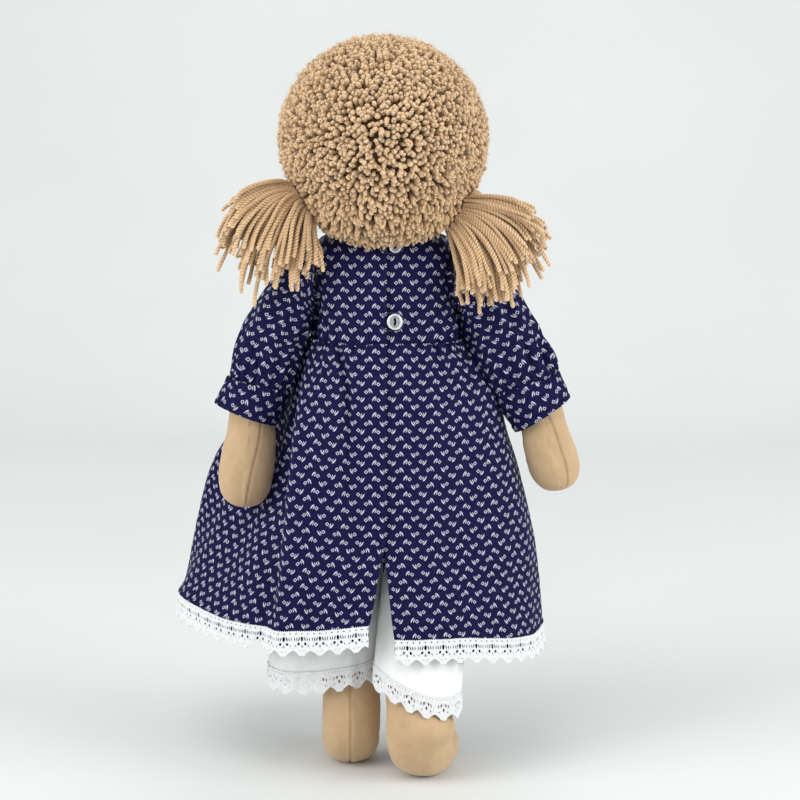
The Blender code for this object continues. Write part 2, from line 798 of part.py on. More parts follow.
# ---------------------------------------------------------------- skirt
# Plans of the outer face, from centre back over the left side to centre front and back over the right side
PLAN = {
    222: "0,41 15,42.5 31,41.5 44,38 50,30 53,20 54.5,8 56,-5 59,-16 66,-25 74,-36 69,-46 52,-50 34,-50 16,-51 0,-52"
    " -14,-51 -30,-47 -45,-38 -57,-25 -65,-8 -62,9 -53,23 -40,32 -26,38 -13,41",
    185: "0,49 18,51 38,50.5 53,47.5 59,40 61,29 62,17 64,4 69,-9 83,-21 104,-38 99,-57 76,-64 50,-64 24,-65 0,-67"
    " -20,-64 -42,-56 -60,-42 -73,-25 -79,-7 -75,13 -63,28 -47,38 -29,45 -14,48.5",
    140: "0,54.5 21,56 42,55.5 56,53 62,46 67,38 72,28 78,13 88,-4 105,-22 119,-46 108,-70 82,-79 54,-75 26,-77 0,-79"
    " -24,-76 -48,-66 -70,-49 -85,-28 -93,-6 -88,15 -74,31 -55,42 -34,50 -17,54",
    95: "0,57 22,58 43,57.5 58,55 67,48 77,41 90,32 105,19 119,0 129,-24 128,-52 113,-76 86,-84 56,-80 27,-81 0,-84"
    " -26,-80 -51,-69 -75,-51 -90,-29 -99,-6 -93,16 -78,34 -58,47 -36,56 -17,58",
}
plans = {
    z: [tuple(float(n) for n in p.split(",")) for p in text.split()]
    for z, text in PLAN.items()
}
angles = [math.atan2(x / 64, y / 46) for x, y in plans[222]]
plans[262] = [oval(45.0, 31.0, a, 2.2) for a in angles]
LEVELS = [262, 222, 185, 140, 95]
BACK_SLIT = {1: 9.0, -1: -6.0}  # edges of the slit at the hem
FRONT, COUNT = 15, 26


def plan_at(level, t):
    """A point of one plan; t counts its corners."""
    pts = plans[level]
    i = int(math.floor(t))
    f = t - i
    a, b, c, d = (pts[(i + k) % COUNT] for k in (-1, 0, 1, 2))
    return tuple(
        0.5
        * (
            2 * q
            + (r - p) * f
            + (2 * p - 5 * q + 4 * r - s) * f * f
            + (3 * q - p - 3 * r + s) * f**3
        )
        for p, q, r, s in zip(a, b, c, d)
    )


def between(table, u):
    for (a, p), (b, q) in zip(table, table[1:]):
        if u <= b:
            return p + (q - p) * (u - a) / (b - a)
    return table[-1][1]


def skirt_point(half, u, down, drop=0.0):
    """half 1 is the left half. u runs from centre back to centre front, down from waist to hem."""
    t = u * FRONT if half > 0 else COUNT - u * (COUNT - FRONT)
    pts = [plan_at(level, t) for level in LEVELS]
    x, y = smooth_table(pts, down)
    hem = between(HEM[half], u)
    zs = [(float(level),) for level in LEVELS]
    z = smooth_table(zs, down)[0]
    z += (hem - 95.0) * max(0.0, (down - 0.5) / 0.5)
    if down == 0:
        z = WAIST_Z
    slit = max(0.0, (down - 0.72) / 0.28)
    near_back = max(0.0, 1 - u * (FRONT if half > 0 else COUNT - FRONT) / 1.6)
    x += BACK_SLIT[half] * slit * near_back
    if u == 0:
        x += half * SEAM
    if u == 1:
        x += half * SEAM
    return x, y, z - drop


def skirt_side(name, half, columns):
    def at(u, v):
        return P(*skirt_point(half, u, 1 - v))

    return shell(name, at, columns, 7, NAVY, CLOTH)


def hem_lace(name, half, columns):
    def at(u, v):
        x, y, z = skirt_point(half, u, 1.0)
        return P(x * 1.004, y, z - 0.4 - (LACE_DEEP - 0.4) * (1 - v))

    return shell(name, at, columns, 1, LACE, 0.8)


skirt_side("skirt_left", 1, 26)
skirt_side("skirt_right", -1, 18)
hem_lace("hem_lace_left", 1, 26)
hem_lace("hem_lace_right", -1, 18)

# ---------------------------------------------------------------- bloomers
# z, outer edge x, inner edge x, front y, back y; above the crotch the inner edge is the centre seam
BLOOM = {
    1: [
        (253.0, 42.3, 0.0, -29.3, 29.3),
        (238.0, 44.0, 0.0, -31.5, 31.5),
        (218.0, 46.5, 0.0, -34.0, 34.0),
        (198.0, 48.0, 0.0, -36.5, 36.5),
        (180.0, 49.0, 0.0, -37.0, 37.0),
        (165.0, 49.5, 0.0, -36.0, 34.0),
        (152.0, 50.5, 0.7, -30.0, 29.0),
        (140.0, 52.0, 1.0, -27.0, 29.0),
        (115.0, 58.0, 1.0, -23.0, 31.5),
        (88.0, 66.0, 0.8, -19.0, 35.0),
        (64.0, 71.0, 0.4, -16.0, 38.6),
    ],
    -1: [
        (253.0, 42.3, 0.0, -29.3, 29.3),
        (238.0, 44.0, 0.0, -31.5, 31.5),
        (218.0, 46.5, 0.0, -34.0, 34.0),
        (198.0, 48.0, 0.0, -36.5, 36.5),
        (180.0, 48.5, 0.0, -36.0, 37.0),
        (165.0, 48.5, 0.0, -32.0, 37.0),
        (152.0, 48.5, 0.7, -26.0, 37.0),
        (140.0, 48.5, 1.0, -20.0, 38.0),
        (115.0, 49.0, 0.7, -14.0, 47.0),
        (88.0, 49.0, 0.2, -4.0, 52.3),
        (54.5, 45.8, 0.0, 6.0, 61.2),
    ],
}
# how far the two free edges have closed round the leg: 0 on the centre seam, 1 at the inner leg
CLOSE = (0, 0, 0, 0, 0, 0.12, 0.8, 1, 1, 1, 1)
# the right leg's inner back corner is swept behind the left leg; both hems are higher at the inner back
SWEEP = {1: (0,) * 11, -1: (0, 0, 0, 0, 0, 0, 0, 2.0, 5.0, 8.0, 10.0)}
RAISE = {
    1: (0, 0, 0, 0, 0, 0, 0, 0, 1.5, 4.0, 8.0),
    -1: (0, 0, 0, 0, 0, 0, 0, 0, 3.0, 11.0, 21.0),
}


def bloom_at(rows, side, u, i):
    z, out, inn, front, back = rows[i]
    cy, b = (front + back) / 2, (back - front) / 2
    k = CLOSE[i]
    # above the crotch half an oval about x = 0, below it a whole oval about the leg
    ang = u * math.pi
    hx, hy = oval(out, b, ang, 2.3)
    hx = max(hx, 0.0) + SEAM
    ang = (0.5 - 0.5) * math.pi + (-math.pi / 2 + 0.02 + u * (math.tau - 0.04))
    lx, ly = oval((out - inn) / 2, b, ang, 2.5)
    lx += (out + inn) / 2
    x = hx + (lx - hx) * k
    y = hy + (ly - hy) * k
    inner = min(1.0, max(0.0, (out - x) / (out - inn)))
    x -= SWEEP[side][i] * inner * min(1.0, max(0.0, (y / b - 0.15) / 0.55))
    z += RAISE[side][i] * inner * inner
    if side < 0:
        y -= 0.35 * RAISE[side][i] * inner * inner * max(0.0, y / b)
    return side * x, cy + y, z


def bloomers(name, side):
    rows = BLOOM[side]

    def at(u, v):
        return P(*bloom_at(rows, side, u, round((1 - v) * (len(rows) - 1))))

    def mid(c):
        z = c.z / MM
        k = min(1.0, max(0.0, (160 - z) / 15))
        r = min(rows, key=lambda r: abs(r[0] - z))
        return P(side * (r[1] + r[2]) / 2 * k, (r[3] + r[4]) / 2, z)

    return shell(name, at, 18, len(rows) - 1, COTTON, 0.8, centre=mid)


def bloomers_lace(name, side):
    rows = BLOOM[side]
    steps = 18

    def at(u, v):
        x, y, z = bloom_at(rows, side, u, len(rows) - 1)
        deep = LACE_DEEP - 0.4
        return P(x, y, z - 0.4 - deep * (1 - v))

    return shell(
        name,
        at,
        steps,
        1,
        LACE,
        0.8,
        centre=lambda c: P(side * 30, (rows[-1][3] + rows[-1][4]) / 2, c.z / MM),
    )


for side, word in ((1, "left"), (-1, "right")):
    bloomers("bloomers_" + word, side)
    bloomers_lace("bloomers_lace_" + word, side)
ring_band(
    "waist_elastic", [(253.5, 42.5, 29.5), (258.5, 42.4, 29.4)], 24, ELASTIC, 0.8, n=2.1
)

# ---------------------------------------------------------------- origins on the joint axes


def on_axis(x, y, z, names):
    """Puts the origins of a moving body's pieces on its joint axis; the pieces stay where they are."""
    q = P(x, y, z)
    for name in names:
        ob = bpy.data.objects[name]
        ob.data.transform(Matrix.Translation(-q))
        ob.location = q


on_axis(0, 0, 320, ["neck_core", "neck_thread"])
on_axis(
    0,
    0,
    PIVOT_Z,
    [
        "head_skin",
        "head_stuffing",
        "eye_left",
        "eye_right",
        "mouth",
        "hair_pile",
        "hair_tie_left",
        "hair_tie_right",
    ],
)
for side, word in ((1, "left"), (-1, "right")):
    on_axis(side * PIG_ROOT[0], PIG_ROOT[1], PIG_ROOT[2], ["pigtail_" + word])
    on_axis(
        side * SHOULDER[0],
        SHOULDER[1],
        SHOULDER[2],
        [n + word for n in ("arm_skin_", "arm_stuffing_", "sleeve_", "cuff_")],
    )
    on_axis(
        side * HIP_X,
        0,
        HIP_Z,
        [
            n + word
            for n in ("leg_skin_", "leg_stuffing_", "bloomers_", "bloomers_lace_")
        ],
    )
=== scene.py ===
import math

import bmesh
import bpy
import numpy as np
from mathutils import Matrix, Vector

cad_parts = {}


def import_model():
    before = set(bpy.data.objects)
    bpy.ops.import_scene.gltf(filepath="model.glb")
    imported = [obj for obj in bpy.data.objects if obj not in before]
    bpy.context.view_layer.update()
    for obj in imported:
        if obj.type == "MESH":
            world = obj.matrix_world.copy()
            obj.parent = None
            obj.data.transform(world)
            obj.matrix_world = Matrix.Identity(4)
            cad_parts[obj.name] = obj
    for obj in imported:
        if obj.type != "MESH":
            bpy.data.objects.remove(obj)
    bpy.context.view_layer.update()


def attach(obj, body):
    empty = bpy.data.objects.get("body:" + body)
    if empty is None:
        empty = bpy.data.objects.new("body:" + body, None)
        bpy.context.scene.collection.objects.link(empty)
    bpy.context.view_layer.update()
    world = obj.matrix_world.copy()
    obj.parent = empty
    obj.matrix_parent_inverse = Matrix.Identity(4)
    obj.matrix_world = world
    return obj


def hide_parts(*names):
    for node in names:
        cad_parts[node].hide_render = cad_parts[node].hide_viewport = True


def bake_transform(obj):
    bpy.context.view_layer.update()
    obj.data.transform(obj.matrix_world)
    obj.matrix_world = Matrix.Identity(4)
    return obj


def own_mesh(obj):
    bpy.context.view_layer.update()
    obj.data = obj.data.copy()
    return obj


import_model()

# Millimetres in the doll's own frame here, metres in the scene. Face to -Y, up +Z, the doll's left +X.
BX, BY = -5.9, 10.7
HEAD_Z, HEAD_R = 384.0, 50.5
TAU = math.tau


def world(p):
    return (np.asarray(p, float) + (BX, BY, 0.0)) * 0.001


# ------------------------------------------------------------------ camera
cam_data = bpy.data.cameras.new("camera")
cam_data.lens = 85
cam_data.sensor_width = 36
cam = bpy.data.objects.new("camera", cam_data)
bpy.context.scene.collection.objects.link(cam)
cam.location = (-0.0153, 1.1435, 0.4044)
aim = Vector((-0.0153, 0.0107, 0.2251))
cam.rotation_euler = (aim - cam.location).to_track_quat("-Z", "Y").to_euler()
bpy.context.scene.camera = cam

# ------------------------------------------------------------------ smooth random numbers


def noise1(x, seed, step=1.0):
    """Smooth noise along x, about -1 to 1, one value per step."""
    x = np.asarray(x, float) / step
    i = np.floor(x).astype(np.int64)
    f = x - i
    f = f * f * (3 - 2 * f)

    def h(k):
        n = (k * 374761393 + seed * 668265263) & 0x7FFFFFFF
        n = ((n ^ (n >> 13)) * 1274126177) & 0x7FFFFFFF
        return ((n ^ (n >> 16)) & 0xFFFF) / 32767.5 - 1

    return h(i) * (1 - f) + h(i + 1) * f


def noise2(x, y, seed, step=1.0):
    x, y = np.broadcast_arrays(
        np.asarray(x, float) / step, np.asarray(y, float) / step
    )
    i, j = np.floor(x).astype(np.int64), np.floor(y).astype(np.int64)
    f, g = x - i, y - j
    f, g = f * f * (3 - 2 * f), g * g * (3 - 2 * g)

    def h(a, b):
        n = (a * 374761393 + b * 1103515245 + seed * 668265263) & 0x7FFFFFFF
        n = ((n ^ (n >> 13)) * 1274126177) & 0x7FFFFFFF
        return ((n ^ (n >> 16)) & 0xFFFF) / 32767.5 - 1

    return (h(i, j) * (1 - f) + h(i + 1, j) * f) * (1 - g) + (
        h(i, j + 1) * (1 - f) + h(i + 1, j + 1) * f
    ) * g


def step(a, b, x):
    t = np.clip((np.asarray(x, float) - a) / (b - a), 0, 1)
    return t * t * (3 - 2 * t)


def bump1(x, mid, half):
    """A round bump of 1 at mid and 0 beyond half."""
    t = np.clip(1 - ((np.asarray(x, float) - mid) / half) ** 2, 0, 1)
    return t * t


def rows_at(table, t):
    """Catmull-Rom through a table of rows at t from 0 to 1, for an array of t."""
    tab = np.asarray(table, float)
    t = np.clip(np.asarray(t, float), 0, 1) * (len(tab) - 1)
    i = np.minimum(t.astype(int), len(tab) - 2)
    f = (t - i)[..., None]
    a, b, c, d = (
        tab[np.clip(i + k, 0, len(tab) - 1)] for k in (-1, 0, 1, 2)
    )
    return 0.5 * (
        2 * b + (c - a) * f + (2 * a - 5 * b + 4 * c - d) * f**2 + (3 * b - a - 3 * c + d) * f**3
    )


def oval(a, b, ang, n=2.0):
    """Angle runs from +Y towards +X."""
    s, c = np.sin(ang), np.cos(ang)
    return a * np.sign(s) * np.abs(s) ** (2 / n), b * np.sign(c) * np.abs(c) ** (2 / n)


def unit(v):
    return v / np.maximum(np.linalg.norm(v, axis=-1, keepdims=True), 1e-12)


# ------------------------------------------------------------------ meshes


def new_mesh(name, pts, polys, mat, uv=None, attrs=None):
    """polys is a list of index arrays of one width each; uv is per corner, in the same order."""
    me = bpy.data.meshes.new(name)
    pts = world(pts).astype(np.float32)
    me.vertices.add(len(pts))
    me.vertices.foreach_set("co", pts.ravel())
    loops = np.concatenate([p.ravel() for p in polys]).astype(np.int32)
    totals = np.concatenate([np.full(len(p), p.shape[1]) for p in polys])
    starts = np.concatenate([[0], np.cumsum(totals)[:-1]]).astype(np.int32)
    me.loops.add(len(loops))
    me.loops.foreach_set("vertex_index", loops)
    me.polygons.add(len(starts))
    me.polygons.foreach_set("loop_start", starts)
    me.polygons.foreach_set("use_smooth", np.ones(len(starts), bool))
    me.update(calc_edges=True)
    if uv is not None:
        layer = me.uv_layers.new(name="UVMap")
        layer.data.foreach_set("uv", np.asarray(uv, np.float32).ravel())
    for key, values in (attrs or {}).items():
        a = me.attributes.new(key, "FLOAT", "POINT")
        a.data.foreach_set("value", np.asarray(values, np.float32).ravel())
    ob = bpy.data.objects.new(name, me)
    bpy.context.scene.collection.objects.link(ob)
    if mat is not None:
        me.materials.append(mat)
    return ob


def grid_faces(rows, cols, closed=False, flip=False):
    c2 = cols if closed else cols - 1
    r, c = np.meshgrid(np.arange(rows - 1), np.arange(c2), indexing="ij")
    n = (c + 1) % cols
    f = np.stack([r * cols + c, r * cols + n, (r + 1) * cols + n, (r + 1) * cols + c], -1)
    f = f.reshape(-1, 4)
    return f[:, ::-1] if flip else f


def grid_mesh(name, P, mat, uv=None, closed=False, outward=True, attrs=None):
    """A sheet from points P of shape rows x columns x 3, in millimetres; uv is rows x (columns + closed) x 2."""
    R, C = P.shape[:2]
    f = grid_faces(R, C, closed)
    flat = P.reshape(-1, 3)
    a, b, c, d = (flat[f[:, k]] for k in range(4))
    nrm = np.cross(c - a, d - b)
    # the side the faces look to, against the middle of each row
    mid = P.mean(1)[np.minimum(f[:, 0] // C, R - 1)]
    flip = (np.sum(nrm * ((a + c) / 2 - mid)) < 0) == outward
    uvf = None
    if uv is not None:
        c2 = C if closed else C - 1
        r, k = np.meshgrid(np.arange(R - 1), np.arange(c2), indexing="ij")
        uvf = np.stack([uv[r, k], uv[r, k + 1], uv[r + 1, k + 1], uv[r + 1, k]], 2)
        uvf = uvf.reshape(-1, 4, 2)
        if flip:
            uvf = uvf[:, ::-1]
    if flip:
        f = f[:, ::-1]
    return new_mesh(name, flat, [f], mat, uvf, attrs)


def apply_mods(ob):
    deps = bpy.context.evaluated_depsgraph_get()
    me = bpy.data.meshes.new_from_object(
        ob.evaluated_get(deps), preserve_all_data_layers=True, depsgraph=deps
    )
    old = ob.data
    ob.modifiers.clear()
    ob.data = me
    me.name = ob.name
    bpy.data.meshes.remove(old)
    return ob


def thicken(ob, thick, offset=-1.0):
    m = ob.modifiers.new("Solidify", "SOLIDIFY")
    m.thickness = thick * 0.001
    m.offset = offset
    m.use_even_offset = False
    return apply_mods(ob)


def join(name, obs):
    """Several objects as one."""
    if len(obs) == 1:
        obs[0].name = name
        return obs[0]
    with bpy.context.temp_override(
        active_object=obs[0], selected_editable_objects=obs, selected_objects=obs, object=obs[0]
    ):
        bpy.ops.object.join()
    obs[0].name = name
    obs[0].data.name = name
    return obs[0]


def tubes(name, path, radius, sides, mat, ply=0.0, pitch=4.2, phase=None, tone=None, fray=0.0, plies=3, cut=True):
    """Threads along paths of shape count x points x 3. radius may be per point. ply is how deep the twist shows."""
    path = np.asarray(path, float)
    N, K = path.shape[:2]
    rad = np.broadcast_to(np.asarray(radius, float), (N, K)).copy()
    tan = np.gradient(path, axis=1)
    tan = unit(tan)
    seg = np.linalg.norm(np.diff(path, axis=1), axis=2)
    s = np.concatenate([np.zeros((N, 1)), np.cumsum(seg, 1)], 1)
    # carry one frame along each thread
    ref = np.zeros((N, 3))
    t0 = np.abs(tan[:, 0])
    ref[np.arange(N), t0.argmin(1)] = 1
    e1 = np.zeros((N, K, 3))
    cur = unit(ref - (ref * tan[:, 0]).sum(1, keepdims=True) * tan[:, 0])
    for k in range(K):
        cur = unit(cur - (cur * tan[:, k]).sum(1, keepdims=True) * tan[:, k])
        e1[:, k] = cur
    e2 = np.cross(tan, e1)
    th = np.arange(sides) * TAU / sides
    ph = np.zeros(N) if phase is None else np.asarray(phase, float)
    turn = th[None, None, :] - TAU * s[:, :, None] / pitch + ph[:, None, None]
    lobe = np.abs(np.cos(plies / 2 * turn))
    amount = np.full((N, K), ply)
    if fray:
        amount = ply + fray * step(s[:, -1:] - 2.2, s[:, -1:], s)
    r = rad[:, :, None] * (1 - amount[:, :, None] * (1 - lobe))
    P = (
        path[:, :, None]
        + r[..., None] * (np.cos(th)[None, None, :, None] * e1[:, :, None] + np.sin(th)[None, None, :, None] * e2[:, :, None])
    )
    base = (np.arange(N) * (K * sides + 2))[:, None]
    f = grid_faces(K, sides, True)
    faces = (base[:, :, None] + f[None]).reshape(-1, 4)
    caps = []
    c = np.arange(sides)
    n = (c + 1) % sides
    tip, root = K * sides, K * sides + 1
    caps.append(np.stack([(K - 1) * sides + c, (K - 1) * sides + n, np.full(sides, tip)], 1))
    caps.append(np.stack([n, c, np.full(sides, root)], 1))
    caps = (base[:, :, None] + np.concatenate(caps)[None]).reshape(-1, 3)
    out = 0.35 if cut else 0.0
    tips = path[:, -1] + tan[:, -1] * rad[:, -1:] * out
    pts = np.concatenate([P.reshape(N, -1, 3), tips[:, None], path[:, :1]], 1).reshape(-1, 3)
    # corners: u round the thread, v along it, in millimetres
    U = np.broadcast_to(np.arange(sides + 1) / sides, (K, sides + 1))
    r_, k_ = np.meshgrid(np.arange(K - 1), np.arange(sides), indexing="ij")
    V = s
    u4 = np.stack([U[r_, k_], U[r_, k_ + 1], U[r_ + 1, k_ + 1], U[r_ + 1, k_]], 2).reshape(-1, 4)
    v4 = np.stack([V[:, r_], V[:, r_], V[:, r_ + 1], V[:, r_ + 1]], 3).reshape(N, -1, 4)
    uvq = np.stack([np.broadcast_to(u4[None], v4.shape), v4], -1).reshape(-1, 2)
    uvt = np.zeros((N, 2 * sides * 3, 2))
    uvt[:, : sides * 3, 1] = s[:, -1:]
    uvt = uvt.reshape(-1, 2)
    tone = np.full(N, 0.5) if tone is None else np.asarray(tone, float)
    at = np.concatenate([np.broadcast_to(tone[:, None], (N, K * sides)), tone[:, None], tone[:, None]], 1)
    # crest is 1 on a ply's crest and 0 in the valley between plies; the yarn material paints shade into the valleys
    # from it
    shade = np.concatenate([lobe.reshape(N, -1), np.full((N, 1), 1.0), np.full((N, 1), 0.0)], 1)
    run = s / np.maximum(s[:, -1:], 1e-9)
    along = np.concatenate(
        [np.broadcast_to(run[:, :, None], (N, K, sides)).reshape(N, -1), np.ones((N, 1)), np.zeros((N, 1))], 1
    )
    return new_mesh(
        name, pts, [faces, caps], mat, np.concatenate([uvq, uvt]),
        {"tone": at, "crest": shade, "run": along},
    )


# ------------------------------------------------------------------ shader building


class Shader:
    def __init__(self, name, rough=0.8):
        self.m = bpy.data.materials.new(name)
        self.m.use_nodes = True
        self.t = self.m.node_tree
        self.b = self.t.nodes["Principled BSDF"]
        self.b.inputs["Roughness"].default_value = rough
        self.b.inputs["Specular IOR Level"].default_value = 0.3

    def put(self, socket, v):
        if isinstance(v, bpy.types.NodeSocket):
            self.t.links.new(v, socket)
        elif v is not None:
            socket.default_value = v

    def math(self, op, a, b=None, c=None, clamp=False):
        n = self.t.nodes.new("ShaderNodeMath")
        n.operation = op
        n.use_clamp = clamp
        for s, v in zip(n.inputs, (a, b, c)):
            self.put(s, v)
        return n.outputs[0]

    def add(self, a, b):
        return self.math("ADD", a, b)

    def sub(self, a, b):
        return self.math("SUBTRACT", a, b)

    def mul(self, a, b):
        return self.math("MULTIPLY", a, b)

    def maxi(self, a, b):
        return self.math("MAXIMUM", a, b)

    def uv(self):
        n = self.t.nodes.new("ShaderNodeUVMap")
        n.uv_map = "UVMap"
        s = self.t.nodes.new("ShaderNodeSeparateXYZ")
        self.t.links.new(n.outputs[0], s.inputs[0])
        return s.outputs[0], s.outputs[1]

    def xyz(self, x, y, z=0.0):
        n = self.t.nodes.new("ShaderNodeCombineXYZ")
        for s, v in zip(n.inputs, (x, y, z)):
            self.put(s, v)
        return n.outputs[0]

    def obj(self):
        n = self.t.nodes.new("ShaderNodeTexCoord")
        return n.outputs["Object"]

    def attr(self, name):
        n = self.t.nodes.new("ShaderNodeAttribute")
        n.attribute_name = name
        return n.outputs["Fac"]

    def noise(self, vec, scale, detail=2.0, rough=0.5, dist=0.0):
        n = self.t.nodes.new("ShaderNodeTexNoise")
        n.inputs["Scale"].default_value = scale
        n.inputs["Detail"].default_value = detail
        n.inputs["Roughness"].default_value = rough
        n.inputs["Distortion"].default_value = dist
        self.put(n.inputs["Vector"], vec)
        return n.outputs["Fac"]

    def vecmul(self, vec, by):
        n = self.t.nodes.new("ShaderNodeVectorMath")
        n.operation = "MULTIPLY"
        self.put(n.inputs[0], vec)
        n.inputs[1].default_value = by
        return n.outputs[0]

    def mix(self, fac, a, b):
        n = self.t.nodes.new("ShaderNodeMix")
        n.data_type = "RGBA"
        self.put(n.inputs["Factor"], fac)
        self.put(n.inputs[6], (*a, 1) if isinstance(a, tuple) else a)
        self.put(n.inputs[7], (*b, 1) if isinstance(b, tuple) else b)
        return n.outputs[2]

    def ramp(self, fac, stops):
        n = self.t.nodes.new("ShaderNodeValToRGB")
        e = n.color_ramp.elements
        while len(e) < len(stops):
            e.new(0.5)
        for el, (p, col) in zip(e, stops):
            el.position = p
            el.color = (*col, 1)
        self.put(n.inputs[0], fac)
        return n.outputs[0]

    def range(self, v, a, b, c, d):
        n = self.t.nodes.new("ShaderNodeMapRange")
        self.put(n.inputs[0], v)
        for k, x in zip((1, 2, 3, 4), (a, b, c, d)):
            n.inputs[k].default_value = x
        return n.outputs[0]

    def bump(self, height, strength=0.3, distance=0.0002, normal=None):
        n = self.t.nodes.new("ShaderNodeBump")
        n.inputs["Strength"].default_value = strength
        n.inputs["Distance"].default_value = distance
        self.put(n.inputs["Height"], height)
        if normal is not None:
            self.put(n.inputs["Normal"], normal)
        return n.outputs[0]

    def colour(self, v):
        self.put(self.b.inputs["Base Color"], v)

    def normal(self, v):
        self.put(self.b.inputs["Normal"], v)

    def rough(self, v):
        self.put(self.b.inputs["Roughness"], v)

    def sheen(self, weight, rough=0.5, tint=(1, 1, 1)):
        self.b.inputs["Sheen Weight"].default_value = weight
        self.b.inputs["Sheen Roughness"].default_value = rough
        self.b.inputs["Sheen Tint"].default_value = (*tint, 1)


def weave(s, u, v, pitch, depth=1.0):
    """Height of a plain weave: threads over and under each other, pitch in millimetres."""
    k = TAU / (2 * pitch)
    su = s.math("SINE", s.mul(u, k))
    sv = s.math("SINE", s.mul(v, k))
    cu = s.math("ABSOLUTE", s.math("COSINE", s.mul(u, k)))
    cv = s.math("ABSOLUTE", s.math("COSINE", s.mul(v, k)))
    over = s.mul(su, sv)
    warp = s.mul(s.math("SQRT", cu), s.add(s.mul(over, 0.5), 0.5))
    weft = s.mul(s.math("SQRT", cv), s.add(s.mul(over, -0.5), 0.5))
    return s.mul(s.maxi(warp, weft), depth)


def sprig(s, x, y):
    """The printed motif about the middle of its cell, as a mask from 0 to 1; x and y in millimetres."""
    # a small four-petalled flower with an open middle
    fx, fy = s.add(x, 1.3), s.sub(y, 0.4)
    d = s.math("SQRT", s.add(s.mul(fx, fx), s.mul(fy, fy)))
    ang = s.math("ARCTAN2", fy, fx)
    petal = s.add(s.mul(s.math("COSINE", s.mul(ang, 4.0)), 0.15), 1.03)
    flower = s.mul(s.sub(petal, d), 8.0)
    flower = s.math("MINIMUM", flower, s.mul(s.sub(d, 0.46), 8.0))

    def leaf(cx, cy, deg, half, thick, curve, taper=0.0):
        c, n = math.cos(math.radians(deg)), math.sin(math.radians(deg))
        dx, dy = s.sub(x, cx), s.sub(y, cy)
        p = s.add(s.mul(dx, c), s.mul(dy, n))
        q = s.sub(s.mul(dy, c), s.mul(dx, n))
        pp = s.mul(p, p)
        q = s.sub(q, s.mul(pp, curve))
        q = s.mul(q, s.add(s.mul(p, taper), 1.0))
        e = s.sub(1.0, s.add(s.mul(pp, 1 / half**2), s.mul(s.mul(q, q), 1 / thick**2)))
        return s.mul(e, 2.2)

    a = leaf(0.42, -0.12, 60, 1.3, 0.27, 0.12)
    b = leaf(1.5, -0.55, 52, 1.95, 0.46, 0.09, 0.2)
    c = leaf(0.95, -0.95, -12, 0.7, 0.16, 0.0)
    m = s.maxi(s.maxi(flower, a), s.maxi(b, c))
    return s.math("MULTIPLY", m, 1.0, clamp=True)


COL, ROW = 4.62, 9.36  # the print's columns and repeat, in millimetres


def print_mask(s, u, v):
    masks = []
    for odd in (0, 1):
        uu = s.sub(u, COL * odd)
        i = s.math("FLOOR", s.mul(uu, 1 / (2 * COL)))
        x = s.sub(s.sub(uu, s.mul(i, 2 * COL)), COL)
        vv = s.add(v, ROW * 0.5 * odd)
        j = s.math("FLOOR", s.mul(vv, 1 / ROW))
        y = s.sub(s.sub(vv, s.mul(j, ROW)), ROW / 2)
        # every other column of this lattice is turned half round
        par = s.sub(i, s.mul(s.math("FLOOR", s.mul(i, 0.5)), 2.0))
        sign = s.sub(1.0, s.mul(par, 2.0))
        x = s.mul(x, sign)
        y = s.mul(y, s.mul(sign, -1.0) if odd else sign)
        masks.append(sprig(s, x, y))
    return s.maxi(*masks)


def printed_cotton():
    s = Shader("navy_print", 0.78)
    u, v = s.uv()
    u, v = s.mul(u, 1000.0), s.mul(v, 1000.0)
    flat = s.xyz(u, v)
    # the print runs a little unevenly into the cloth
    wob = s.sub(s.noise(flat, 1.6, 1.0), 0.5)
    wob2 = s.sub(s.noise(s.vecmul(flat, (1, 1, 1)), 1.3, 1.0), 0.5)
    mask = print_mask(s, s.add(u, s.mul(wob, 0.22)), s.add(v, s.mul(wob2, 0.22)))
    w = weave(s, u, v, 0.3)
    grain = s.noise(flat, 2.4, 3.0, 0.6)
    cloudy = s.noise(flat, 0.05, 2.0)
    navy = s.mix(s.mul(w, 0.6), (0.0058, 0.0052, 0.038), (0.018, 0.0158, 0.116))
    navy = s.mix(s.range(cloudy, 0.3, 0.7, 0.0, 0.35), navy, (0.0085, 0.008, 0.055))
    slub = s.noise(flat, 0.85, 2.0, 0.6)
    navy = s.mix(s.range(slub, 0.36, 0.62, 0.75, 0.0), navy, (0.0022, 0.002, 0.014))
    white = s.mix(s.mul(w, 0.8), (0.46, 0.46, 0.58), (0.70, 0.70, 0.80))
    fade = s.range(grain, 0.25, 0.75, 0.8, 1.0)
    s.colour(s.mix(s.mul(mask, fade), navy, white))
    h = s.add(s.mul(w, 0.8), s.mul(grain, 0.5))
    s.normal(s.bump(h, 0.35, 0.00012))
    s.b.inputs["Specular IOR Level"].default_value = 0.1
    return s.m


def white_cotton():
    s = Shader("white_cotton", 0.82)
    u, v = s.uv()
    u, v = s.mul(u, 1000.0), s.mul(v, 1000.0)
    flat = s.xyz(u, v)
    w = weave(s, u, v, 0.3)
    grain = s.noise(flat, 1.9, 3.0, 0.6)
    big = s.noise(flat, 0.06, 2.0)
    c = s.mix(s.mul(w, 0.6), (0.78, 0.785, 0.79), (0.90, 0.905, 0.91))
    c = s.mix(s.range(big, 0.3, 0.7, 0.0, 0.25), c, (0.84, 0.85, 0.86))
    s.colour(c)
    s.normal(s.bump(s.add(s.mul(w, 0.8), s.mul(grain, 0.6)), 0.3, 0.00012))
    s.sheen(0.1, 0.5)
    return s.m


